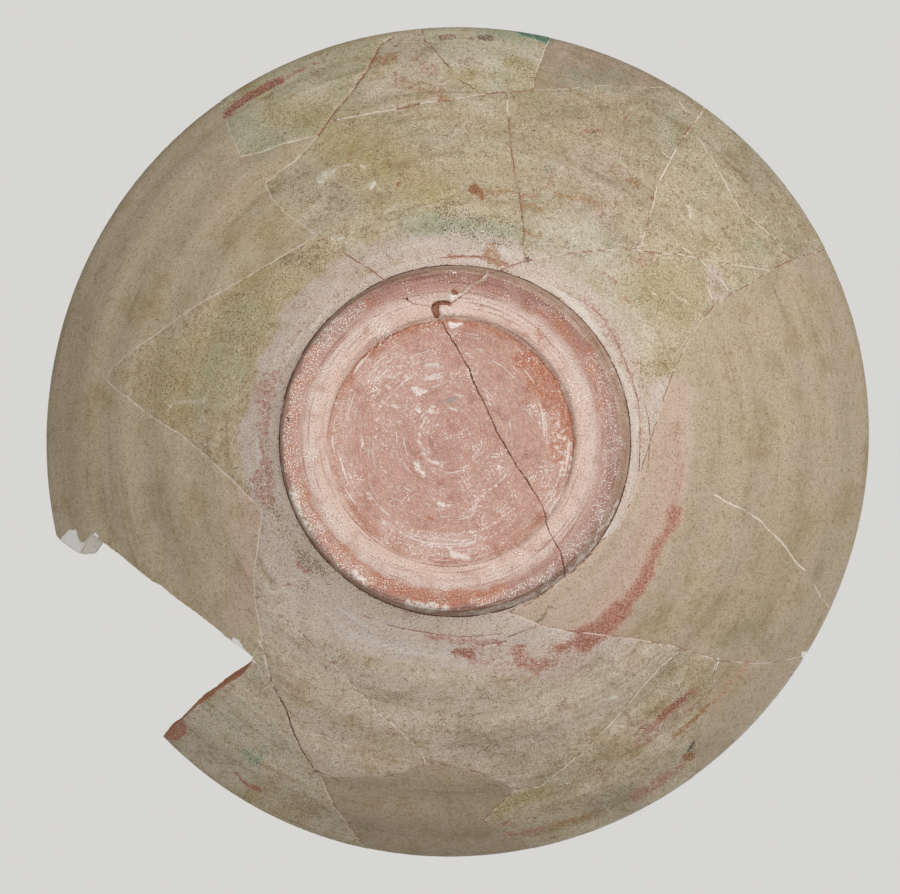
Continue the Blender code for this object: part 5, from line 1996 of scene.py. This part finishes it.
@dataclass(frozen=True)
class TurnedRelief:
    """The soft ridges that fingers left while the bowl was thrown, as a geometry node tree.

    The tree moves each vertex along "outward" by two waves over "along" and by low lumps, weighed by
    "ridged".

    Attributes:
        ridge_spacing: the distance between the broad ridges.
        ridge_height: how high they are.
        furrow_spacing: the distance between the fine furrows.
        furrow_height: how high they are.
        sway: how far both wander from true rings.
        lump_size: how wide the lumps are.
        lump_height: how high they are.
        seed: the seed for the lumps.
    """

    ridge_spacing: float = 0.0190
    ridge_height: float = 0.00026
    furrow_spacing: float = 0.0034
    furrow_height: float = 0.00004
    sway: float = 0.0030
    lump_size: float = 0.020
    lump_height: float = 0.00030
    seed: float = 3.0

    def tree(self, finishes: list[bpy.types.Material]) -> bpy.types.NodeTree:
        """Builds the tree.

        Args:
            finishes: the materials, in the order that the attribute "finish" numbers them.

        Returns:
            The tree, with the sizes as its named inputs.
        """
        tree, given = started("turned_relief", self.sizes())
        along, weight, outward, finish = (
            add_node(tree, "GeometryNodeInputNamedAttribute", {"Name": name}, data_type=kind).outputs[0]
            for name, kind in (
                ("along", "FLOAT"), ("ridged", "FLOAT"), ("outward", "FLOAT_VECTOR"), ("finish", "INT"),
            )
        )
        place = add_node(tree, "GeometryNodeInputPosition").outputs[0]
        scale = add_node(
            tree, "ShaderNodeMath", {0: 1.0, 1: given["Lump Size"]}, operation="DIVIDE"
        ).outputs[0]
        lumps = add_node(
            tree,
            "ShaderNodeTexNoise",
            {"Vector": place, "W": given["Seed"], "Scale": scale, "Detail": 1.5},
            noise_dimensions="4D",
        ).outputs[0]
        centred = add_node(tree, "ShaderNodeMath", {0: lumps, 1: 0.5}, operation="SUBTRACT").outputs[0]
        swayed = add_node(
            tree, "ShaderNodeMath", {0: centred, 1: given["Sway"], 2: along}, operation="MULTIPLY_ADD"
        ).outputs[0]
        rise = add_node(
            tree, "ShaderNodeMath", {0: centred, 1: given["Lump Height"]}, operation="MULTIPLY"
        ).outputs[0]
        for name in ("Ridge", "Furrow"):
            turns = add_node(
                tree, "ShaderNodeMath", {0: swayed, 1: given[name + " Spacing"]}, operation="DIVIDE"
            ).outputs[0]
            angle = add_node(
                tree, "ShaderNodeMath", {0: turns, 1: 2 * math.pi}, operation="MULTIPLY"
            ).outputs[0]
            wave = add_node(tree, "ShaderNodeMath", {0: angle}, operation="SINE").outputs[0]
            rise = add_node(
                tree,
                "ShaderNodeMath",
                {0: wave, 1: given[name + " Height"], 2: rise},
                operation="MULTIPLY_ADD",
            ).outputs[0]
        rise = add_node(tree, "ShaderNodeMath", {0: rise, 1: weight}, operation="MULTIPLY").outputs[0]
        offset = add_node(
            tree, "ShaderNodeVectorMath", {0: outward, "Scale": rise}, operation="SCALE"
        ).outputs[0]
        moved = add_node(
            tree, "GeometryNodeSetPosition", {"Geometry": given["Geometry"], "Offset": offset}
        ).outputs[0]
        shape = add_node(tree, "GeometryNodeRealizeInstances", {"Geometry": moved}).outputs[0]
        for number, material in enumerate(finishes):
            chosen = add_node(
                tree, "FunctionNodeCompare", {2: finish, 3: number}, data_type="INT", operation="EQUAL"
            ).outputs[0]
            shape = add_node(
                tree,
                "GeometryNodeSetMaterial",
                {"Geometry": shape, "Selection": chosen, "Material": material},
            ).outputs[0]
        add_node(tree, "NodeGroupOutput", {"Geometry": shape})
        return tree

    def sizes(self) -> dict[str, float]:
        """The tree's inputs by name."""
        return {
            "Ridge Spacing": self.ridge_spacing,
            "Ridge Height": self.ridge_height,
            "Furrow Spacing": self.furrow_spacing,
            "Furrow Height": self.furrow_height,
            "Sway": self.sway,
            "Lump Size": self.lump_size,
            "Lump Height": self.lump_height,
            "Seed": self.seed,
        }


@dataclass(frozen=True)
class Crumbs:
    """Crumbs of plaster left along the white joints, as a geometry node tree.

    Attributes:
        density: how many there are on a square metre of joint.
        size: how large they are.
        threshold: how white a joint has to be to hold them.
        seed: the seed for their places.
        patch_scale: how many patches of them there are on a metre.
        least: the least that a crumb is scaled by, along its three axes.
        most: the most.
    """

    density: float = 900000.0
    size: float = 0.00022
    threshold: float = 0.46
    seed: int = 11
    patch_scale: float = 160.0
    least: tuple[float, float, float] = (0.5, 0.5, 0.3)
    most: tuple[float, float, float] = (1.3, 1.3, 0.7)

    def tree(self, finish: bpy.types.Material) -> bpy.types.NodeTree:
        """Builds the tree.

        Args:
            finish: the crumbs' material.

        Returns:
            The tree, with its named inputs.
        """
        tree, given = started("plaster_crumbs", self.sizes())
        joint = add_node(
            tree, "GeometryNodeInputNamedAttribute", {"Name": "joint"}, data_type="FLOAT_VECTOR"
        ).outputs[0]
        white = add_node(tree, "ShaderNodeSeparateXYZ", {0: joint}).outputs[0]
        place = add_node(tree, "GeometryNodeInputPosition").outputs[0]
        patches = add_node(
            tree, "ShaderNodeTexNoise", {"Vector": place, "Scale": self.patch_scale, "Detail": 1.0}
        ).outputs[0]
        both = add_node(tree, "ShaderNodeMath", {0: white, 1: patches}, operation="MULTIPLY").outputs[0]
        near = add_node(
            tree, "ShaderNodeMath", {0: both, 1: given["Threshold"]}, operation="GREATER_THAN"
        ).outputs[0]
        density = add_node(
            tree, "ShaderNodeMath", {0: near, 1: given["Density"]}, operation="MULTIPLY"
        ).outputs[0]
        points = add_node(
            tree,
            "GeometryNodeDistributePointsOnFaces",
            {"Mesh": given["Geometry"], "Density": density, "Seed": given["Seed"]},
        )
        grain = add_node(
            tree, "GeometryNodeMeshIcoSphere", {"Radius": given["Size"], "Subdivisions": 1}
        ).outputs[0]
        scale = add_node(
            tree,
            "FunctionNodeRandomValue",
            {0: self.least, 1: self.most, "Seed": given["Seed"]},
            data_type="FLOAT_VECTOR",
        ).outputs[0]
        placed = add_node(
            tree,
            "GeometryNodeInstanceOnPoints",
            {
                "Points": points.outputs[0],
                "Instance": grain,
                "Rotation": points.outputs["Rotation"],
                "Scale": scale,
            },
        ).outputs[0]
        shape = add_node(tree, "GeometryNodeRealizeInstances", {"Geometry": placed}).outputs[0]
        shape = add_node(tree, "GeometryNodeSetMaterial", {"Geometry": shape, "Material": finish}).outputs[0]
        add_node(tree, "NodeGroupOutput", {"Geometry": shape})
        return tree

    def sizes(self) -> dict[str, float]:
        """The tree's inputs by name."""
        return {"Density": self.density, "Size": self.size, "Threshold": self.threshold, "Seed": self.seed}


def started(name: str, sizes: dict[str, float]) -> tuple[bpy.types.NodeTree, bpy.types.NodeOutputs]:
    """Starts a geometry node tree that takes a geometry and gives one.

    Args:
        name: the tree's name.
        sizes: its further inputs by name. A whole number makes an input of whole numbers.

    Returns:
        The tree, and what its inputs give.
    """
    tree = bpy.data.node_groups.new(name, "GeometryNodeTree")
    tree.interface.new_socket("Geometry", in_out="INPUT", socket_type="NodeSocketGeometry")
    tree.interface.new_socket("Geometry", in_out="OUTPUT", socket_type="NodeSocketGeometry")
    for label, value in sizes.items():
        kind = "NodeSocketInt" if isinstance(value, int) else "NodeSocketFloat"
        tree.interface.new_socket(label, in_out="INPUT", socket_type=kind)
    return tree, add_node(tree, "NodeGroupInput").outputs


def grown(
    name: str, source: bpy.types.Mesh, tree: bpy.types.NodeTree, sizes: dict[str, float]
) -> bpy.types.Object:
    """Runs a geometry node tree on a mesh and keeps the result as a plain mesh.

    Args:
        name: the new piece's name.
        source: the mesh that the tree starts from.
        tree: the tree.
        sizes: its inputs by name.

    Returns:
        The new piece, linked to the scene.
    """
    piece = bpy.data.objects.new(name, source)
    bpy.context.scene.collection.objects.link(piece)
    modifier = piece.modifiers.new(tree.name, "NODES")
    modifier.node_group = tree
    for socket in tree.interface.items_tree:
        if socket.in_out == "INPUT" and socket.name in sizes:
            modifier[socket.identifier] = sizes[socket.name]
    result = bpy.data.meshes.new_from_object(piece.evaluated_get(bpy.context.evaluated_depsgraph_get()))
    piece.modifiers.remove(modifier)
    piece.data = result
    result.name = name
    return piece


PIECE_NAMES = {
    Region.BOWL: "glued_bowl",
    Region.GAP_SIDE: "gap_side_fill",
    Region.LARGE: "large_fill",
    Region.FRONT: "front_fill",
    Region.BACK_RIM: "back_rim_fill",
}


@dataclass
class Side3D:
    """One side of the bowl with all its regions.

    Attributes:
        places: the vertices' places.
        outward: the surface's directions there.
        along: their lengths along the section.
        triangles: the triangles, facing outwards.
        regions: the number of the region that each is in.
        chains: the numbers of each break's vertices.
        near: how near the vertices are to lines, for each kind of joint.
    """

    places: np.ndarray
    outward: np.ndarray
    along: np.ndarray
    triangles: np.ndarray
    regions: np.ndarray
    chains: dict[str, np.ndarray]
    near: np.ndarray


@dataclass
class GluedBowl:
    """The bowl and its fills as closed meshes, one for each region but the loss.

    Attributes:
        mesher: what divides its sides.
        set_back: how far the fills' surface lies below the sherds'.
        break_rows: the rows of vertices across an open break.
        break_roughness: how rough an open break is.
        outer_wear: how far down the rim's wear reaches outside, and over what length it fades.
        inner_wear: the same inside.
        relief_ends: over what length the turned relief grows above the foot, and dies away below the rim.
        crease: beyond what angle an edge stays sharp.
    """

    mesher: BowlMesher
    set_back: float = 0.00012
    break_rows: int = 9
    break_roughness: float = 0.00045
    outer_wear: tuple[float, float] = (0.0070, 0.0042)
    inner_wear: tuple[float, float] = (0.0030, 0.0020)
    relief_ends: tuple[float, float] = (0.012, 0.006)
    crease: float = math.radians(55)

    def __post_init__(self) -> None:
        """Builds the two sides."""
        form = self.mesher.form
        self.form = form
        lines = [(c.joint, c.width, c.depth, line) for c, line in zip(CRACKS, self.mesher.cracks)]
        lines += [(c.joint, c.width, c.depth, self.mesher.chains[key]) for key, c in CHAINS.items()]
        through = [c.shows_inside for c in CRACKS] + [True] * len(CHAINS)
        inside = [(j, w, d, form.across(line)) for (j, w, d, line), shows in zip(lines, through) if shows]
        self.outer = self.side(form.outer, *self.mesher.outer_side(), Lines(lines), True)
        self.inner = self.side(form.inner, *self.mesher.inner_side(), Lines(inside), False)

    def side(self, side: Side, scatter: Scatter, chains: dict, lines: Lines, outer: bool) -> Side3D:
        """Builds one side.

        Args:
            side: its section.
            scatter: its points on the unrolled side.
            chains: the numbers of the breaks' points.
            lines: the cracks on it.
            outer: whether it is the outer side.

        Returns:
            The side.
        """
        flat = scatter.points
        triangles, regions = self.mesher.divided(scatter, chains)
        places, outward = self.form.place(side, flat)
        near, depth = lines.nearness(flat)
        if outer:
            pixels = self.form.view.project(places)
            on_foot = np.hypot(*flat.T) < self.form.joint_length
            for stain in STAINS:
                if stain.rise:
                    depth -= stain.rise * stain.cover(pixels, pixels, on_foot)
        depth[: self.mesher.rim_points] = 0
        places = places - outward * depth[:, None]
        if outer:
            triangles = triangles[:, ::-1]
        return Side3D(places, outward, np.hypot(*flat.T), triangles, regions, chains, near)

    def tones(self, region: Region, pixels: np.ndarray) -> np.ndarray:
        """The ground colour of points on the outer wall.

        Args:
            region: the piece.
            pixels: where the points show.

        Returns:
            A linear colour for each.
        """
        colours = np.tile(np.array(linear(FILL_GROUNDS.get(region, GROUND))[:3]), (len(pixels), 1))
        for tone in FILL_TONES.get(region, TONES):
            colours = tone.over(colours, pixels)
        return colours

    def foot_tones(self, pixels: np.ndarray) -> np.ndarray:
        """The ground colour of points on the foot, in rings."""
        away = np.hypot(*(0.6 * pixels + 0.4 * swayed_pixels(pixels) - FOOT_CENTRE).T)
        radii = [reach for reach, _ in FOOT_RINGS]
        colours = np.array([linear(colour)[:3] for _, colour in FOOT_RINGS])
        return np.c_[tuple(np.interp(away, radii, part) for part in colours.T)]

    def marks(self, pixels: np.ndarray, on_foot: np.ndarray, near: np.ndarray) -> dict[str, np.ndarray]:
        """The marks of points on the outer side.

        Args:
            pixels: where the points show.
            on_foot: whether each point is on the foot.
            near: how near they are to lines.

        Returns:
            Three values for each point by the attribute's name.
        """
        values = {name: np.zeros((len(pixels), 3)) for name in MARK_NAMES}
        swayed = swayed_pixels(pixels)
        for stain in STAINS:
            name, part = stain.mark.value
            values[name][:, part] = np.maximum(values[name][:, part], stain.cover(pixels, swayed, on_foot))
        values["joint"] = near
        return values

    def splashes(self, places: np.ndarray, depth: np.ndarray, near: np.ndarray) -> dict[str, np.ndarray]:
        """The runs of colour from the rim down the inside.

        Args:
            places: the points' places.
            depth: how far below the rim they are, along the wall.
            near: how near they are to lines.

        Returns:
            Three values for each point by the attribute's name.
        """
        values = {name: np.zeros((len(places), 3)) for name in MARK_NAMES}
        around = places[:, :2] / np.maximum(np.hypot(*places[:, :2].T), 1e-6)[:, None]
        for mark, seed, count, reach in SPLASHES:
            wave = np.array([
                noise.noise(Vector((x * count, y * count, seed)))
                + 0.35 * noise.noise(Vector((x, y, seed)) * 3 * count)
                for x, y in around
            ])
            name, part = mark.value
            values[name][:, part] = np.clip(0.5 + 1.6 * wave - depth / reach, 0, 1)
        values["joint"] = near
        return values

    def open_break(self, key: str) -> list[np.ndarray]:
        """The rough rows between a break's outer and inner line.

        Args:
            key: the break.

        Returns:
            The places of each row.
        """
        outer = self.outer.places[self.outer.chains[key]]
        inner = self.inner.places[self.inner.chains[key]]
        along = np.gradient(outer, axis=0)
        across = np.cross(along, inner - outer)
        across /= np.maximum(np.linalg.norm(across, axis=1), 1e-12)[:, None]
        rows = []
        for i in range(1, self.break_rows):
            share = i / self.break_rows
            base = outer * (1 - share) + inner * share
            rough = np.array([
                noise.noise(Vector(p) / COARSE_GRAIN) + 0.5 * noise.noise(Vector(p) / FINE_GRAIN)
                for p in base
            ])
            ends = np.clip(np.minimum(np.arange(len(base)), np.arange(len(base))[::-1]) / 3, 0, 1)
            swell = math.sin(math.pi * share)
            rows.append(base + across * (self.break_roughness * rough * ends * swell**0.5)[:, None])
        return rows

    def piece(
        self,
        region: Region,
        finishes: list[bpy.types.Material],
        relief: bpy.types.NodeTree,
        sizes: dict[str, float],
    ) -> bpy.types.Object:
        """Builds the piece of one region.

        Args:
            region: the region.
            finishes: its materials.
            relief: the tree that adds the turned relief.
            sizes: the tree's inputs.

        Returns:
            The piece.
        """
        number = list(Region).index(region)
        count_outer, count_inner = len(self.outer.places), len(self.inner.places)
        inner_ids = np.arange(count_inner) + count_outer
        inner_ids[: self.mesher.rim_points] = np.arange(self.mesher.rim_points)
        outer_faces = self.outer.triangles[self.outer.regions == number]
        inner_faces = inner_ids[self.inner.triangles[self.inner.regions == number]]
        centre = self.outer.along[outer_faces].mean(axis=1)
        skins = [np.where(centre < self.form.joint_length, Skin.FOOT.value, Skin.OUTSIDE.value)]
        skins.append(np.full(len(inner_faces), Skin.INSIDE.value))
        faces = [outer_faces, inner_faces]
        edges = {tuple(edge) for ends in ([0, 1], [1, 2], [2, 0]) for edge in outer_faces[:, ends]}
        extra: list[np.ndarray] = []
        next_id = count_outer + count_inner
        for key, chain in CHAINS.items():
            if region not in chain.regions:
                continue
            outer_line = self.outer.chains[key]
            inner_line = inner_ids[self.inner.chains[key]]
            rows = [outer_line]
            if Region.LOSS in chain.regions:
                for row in self.open_break(key):
                    ids = np.arange(next_id, next_id + len(row))
                    ids[0], ids[-1] = self.end_ids(outer_line, inner_line, ids)
                    next_id += len(row)
                    extra.append(row)
                    rows.append(ids)
            rows.append(inner_line)
            forward = (outer_line[0], outer_line[1]) in edges
            for upper, lower in zip(rows, rows[1:]):
                quads = np.c_[upper[:-1], upper[1:], lower[1:], lower[:-1]]
                if forward:
                    quads = quads[:, ::-1]
                halves = np.concatenate((quads[:, [0, 1, 2]], quads[:, [0, 2, 3]]))
                first, second, third = halves.T
                halves = halves[(first != second) & (second != third) & (first != third)]
                faces.append(halves)
                skins.append(np.full(len(halves), Skin.BREAK.value))
        all_faces, all_skins = np.concatenate(faces), np.concatenate(skins)
        return self.joined(region, all_faces, all_skins, extra, finishes, relief, sizes)

    def end_ids(self, outer_line: np.ndarray, inner_line: np.ndarray, ids: np.ndarray) -> tuple[int, int]:
        """Which vertices a break's rows end at: the rim's where the two sides share one, else their own."""
        first = outer_line[0] if outer_line[0] == inner_line[0] else ids[0]
        last = outer_line[-1] if outer_line[-1] == inner_line[-1] else ids[-1]
        return first, last

    def joined(
        self,
        region: Region,
        faces: np.ndarray,
        skins: np.ndarray,
        extra: list[np.ndarray],
        finishes: list[bpy.types.Material],
        relief: bpy.types.NodeTree,
        sizes: dict[str, float],
    ) -> bpy.types.Object:
        """Puts a piece's faces together as a mesh with its attributes.

        Args:
            region: the region.
            faces: the triangles, by the numbers of all vertices.
            skins: the finish of each triangle.
            extra: the places of the vertices on its open breaks.
            finishes: its materials.
            relief: the tree that adds the turned relief.
            sizes: the tree's inputs.

        Returns:
            The piece.
        """
        outer, inner = self.outer, self.inner
        added = np.concatenate(extra) if extra else np.zeros((0, 3))
        places = np.concatenate((outer.places, inner.places, added))
        outward = np.concatenate((outer.outward, inner.outward, np.zeros_like(added)))
        used, numbers = np.unique(faces, return_inverse=True)
        numbers = numbers.reshape(-1, 3)
        on_outer = used < len(outer.places)
        on_inner = (used >= len(outer.places)) & (used < len(outer.places) + len(inner.places))
        places, outward = places[used], outward[used]
        outer_ids, inner_ids = used[on_outer], used[on_inner] - len(outer.places)
        values = {name: np.zeros((len(used), 3)) for name in MARK_NAMES}
        pixels = self.form.view.project(places[on_outer])
        on_foot = outer.along[outer_ids] < self.form.joint_length
        for name, part in self.marks(pixels, on_foot, outer.near[outer_ids]).items():
            values[name][on_outer] = part
        below = inner.along.max() - inner.along[inner_ids]
        for name, part in self.splashes(places[on_inner], below, inner.near[inner_ids]).items():
            values[name][on_inner] = part
        top = outer.along.max()
        reach, fade = self.outer_wear
        values["crust"][on_outer, 2] = smooth((outer.along[outer_ids] - top + reach) / fade)
        reach, fade = self.inner_wear
        values["crust"][on_inner, 2] = smooth((reach - below) / fade)
        tone = np.tile(np.array(linear(BREAK_GROUNDS[region is Region.BOWL])[:3]), (len(used), 1))
        tone[on_outer] = self.tones(region, pixels)
        tone[np.flatnonzero(on_outer)[on_foot]] = self.foot_tones(pixels[on_foot])
        tone[on_inner] = linear(INSIDE_GROUNDS[region is Region.BOWL])[:3]
        ridged = np.zeros(len(used))
        start = self.form.joint_length
        growing, dying = self.relief_ends
        ridged[on_outer] = smooth((outer.along[outer_ids] - start) / growing)
        ridged[on_outer] *= smooth((top - outer.along[outer_ids]) / dying)
        ridged[on_inner] = smooth(below / dying)
        if region is not Region.BOWL:
            places[on_outer] -= outward[on_outer] * (self.set_back * smooth(ridged[on_outer] * 3))[:, None]
        mesh = bpy.data.meshes.new(region.value)
        mesh.from_pydata(places.tolist(), [], numbers.tolist())
        mesh.shade_smooth()
        mesh.set_sharp_from_angle(angle=self.crease)
        for name, part in (*values.items(), ("outward", outward)):
            attribute = mesh.attributes.new(name, "FLOAT_VECTOR", "POINT")
            attribute.data.foreach_set("vector", part.astype("f").ravel())
        colour = np.c_[tone, np.ones(len(used))]
        attribute = mesh.attributes.new("tone", "FLOAT_COLOR", "POINT")
        attribute.data.foreach_set("color", colour.astype("f").ravel())
        along = np.zeros(len(used))
        along[on_outer] = outer.along[outer_ids]
        along[on_inner] = inner.along[inner_ids]
        for name, part in (("along", along), ("ridged", ridged)):
            mesh.attributes.new(name, "FLOAT", "POINT").data.foreach_set("value", part.astype("f"))
        mesh.attributes.new("finish", "INT", "FACE").data.foreach_set("value", skins.astype("i"))
        for finish in dict.fromkeys(finishes):
            mesh.materials.append(finish)
        return grown(PIECE_NAMES[region], mesh, relief, sizes)


@dataclass(frozen=True)
class Studio:
    """The plain pale floor, the soft lights and the camera.

    The floor casts no shadow and gives no light back, so that the underside is lit by the lights below the
    floor and by the room alone. The camera looks up from below the floor, and its near clipping plane lies
    between the floor and the foot.

    Attributes:
        view: the photograph's view.
        floor_size: how wide the floor is.
        floor_gap: how far it is below the foot.
        sensor: the width of the camera's sensor, in millimetres.
        room_light: how strongly the room lights.
        room_seen: how bright it looks.
        world: the room's colour.
        floor: the colour that the floor glows with.
        floor_base: its own colour.
        floor_glow: how much it glows in the middle.
        far_glow: how much it glows far off, where it blends with the room.
        glow_start: how far from the middle the glow begins to grow.
        glow_end: how far off it has grown.
    """

    view: PhotoView
    floor_size: float = 6.0
    floor_gap: float = 0.0003
    sensor: float = 36.0
    room_light: float = 0.246
    room_seen: float = 0.95
    world: str = "#dcdbd8"
    floor: str = "#d9d7d2"
    floor_base: str = "#b0aeaa"
    floor_glow: float = 0.55
    far_glow: float = 0.84
    glow_start: float = 0.35
    glow_end: float = 2.2

    def build(self) -> None:
        """Builds the studio."""
        scene = bpy.context.scene
        world = bpy.data.worlds.new("pale_room")
        world.use_nodes = True
        tree = world.node_tree
        seen = add_node(tree, "ShaderNodeLightPath").outputs["Is Camera Ray"]
        strength = add_node(
            tree, "ShaderNodeMapRange", {"Value": seen, "To Min": self.room_light, "To Max": self.room_seen}
        )
        tree.links.new(strength.outputs[0], tree.nodes["Background"].inputs["Strength"])
        tree.nodes["Background"].inputs["Color"].default_value = linear(self.world)
        scene.world = world
        scene.view_settings.view_transform = "Standard"
        self.lay_floor()
        self.light("under_key", (-0.95, 0.80, -1.15), 0.9, 11.6)
        self.light("under_fill", (0.0, 0.0, -1.9), 1.6, 22.3)
        self.light("over_key", (-0.9, -0.9, 1.6), 1.1, 22.0)
        self.light("over_fill", (1.2, -0.6, 1.4), 1.8, 10.0)
        self.set_camera()

    def lay_floor(self) -> None:
        """Lays the floor under the foot."""
        half = self.floor_size / 2
        corners = [(-half, -half), (half, -half), (half, half), (-half, half)]
        mesh = bpy.data.meshes.new("floor")
        mesh.from_pydata([(x, y, -self.floor_gap) for x, y in corners], [], [(0, 1, 2, 3)])
        material = bpy.data.materials.new("matt_pale_board")
        material.use_nodes = True
        shader = material.node_tree.nodes["Principled BSDF"]
        shader.inputs["Base Color"].default_value = linear(self.floor_base)
        shader.inputs["Roughness"].default_value = 0.9
        shader.inputs["Emission Color"].default_value = linear(self.floor)
        tree = material.node_tree
        place = add_node(tree, "ShaderNodeTexCoord").outputs["Object"]
        away = add_node(tree, "ShaderNodeVectorMath", {0: place}, operation="LENGTH").outputs["Value"]
        glow = add_node(
            tree,
            "ShaderNodeMapRange",
            {
                "Value": away,
                "From Min": self.glow_start,
                "From Max": self.glow_end,
                "To Min": self.floor_glow,
                "To Max": self.far_glow,
            },
        )
        tree.links.new(glow.outputs[0], shader.inputs["Emission Strength"])
        mesh.materials.append(material)
        floor = bpy.data.objects.new("floor", mesh)
        bpy.context.scene.collection.objects.link(floor)
        floor.visible_shadow = False
        floor.visible_diffuse = False

    def light(self, name: str, place: tuple[float, float, float], size: float, power: float) -> None:
        """Adds a square light that faces the bowl."""
        data = bpy.data.lights.new(name, "AREA")
        data.size = size
        data.energy = power
        lamp = bpy.data.objects.new(name, data)
        lamp.location = place
        lamp.rotation_euler = (-Vector(place)).to_track_quat("-Z", "Y").to_euler()
        bpy.context.scene.collection.objects.link(lamp)

    def set_camera(self) -> None:
        """Sets the camera straight below the bowl."""
        data = bpy.data.cameras.new("camera")
        data.sensor_width = self.sensor
        data.lens = self.view.focal * self.sensor / self.view.frame[0]
        data.clip_start = -self.floor_gap / 2 - self.view.eye[2]
        data.clip_end = 20.0
        camera = bpy.data.objects.new("camera", data)
        camera.location = self.view.eye
        camera.rotation_euler = (0, math.pi, 0)
        bpy.context.scene.collection.objects.link(camera)
        bpy.context.scene.camera = camera


def main() -> None:
    """Builds the bowl, its fills, its crumbs and the studio."""
    logging.basicConfig(level=logging.INFO, format="%(message)s")
    noise.seed_set(SWAY_SEED)
    high = CAD_BOX[1]
    view = PhotoView(high[0])
    form = TurnedForm(Section(high[0], high[2]), view)
    bowl = GluedBowl(BowlMesher(form))
    relief = TurnedRelief()
    clay = [WORN_SLIP.make(), TURNED_FOOT.make(), SPLASHED_INSIDE.make(), BROKEN_CLAY.make()]
    painted, raw = PAINTED_PLASTER.make(), RAW_PLASTER.make()
    plaster = [painted, painted, painted, raw]
    clay_relief, plaster_relief = relief.tree(clay), relief.tree(plaster)
    for region in Region:
        if region is Region.LOSS:
            continue
        whole = region is Region.BOWL
        tree = clay_relief if whole else plaster_relief
        piece = bowl.piece(region, clay if whole else plaster, tree, relief.sizes())
        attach(piece, "root")
        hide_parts(region.value)
        LOG.info("%s: %d triangles", piece.name, len(piece.data.polygons))
        if whole:
            crumbs = Crumbs()
            scatter = grown("plaster_crumbs", piece.data, crumbs.tree(raw), crumbs.sizes())
            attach(scatter, "root")
            LOG.info("%s: %d triangles", scatter.name, len(scatter.data.polygons))
    Studio(view).build()
    LOG.info("built")


if __name__ == "__main__":
    main()
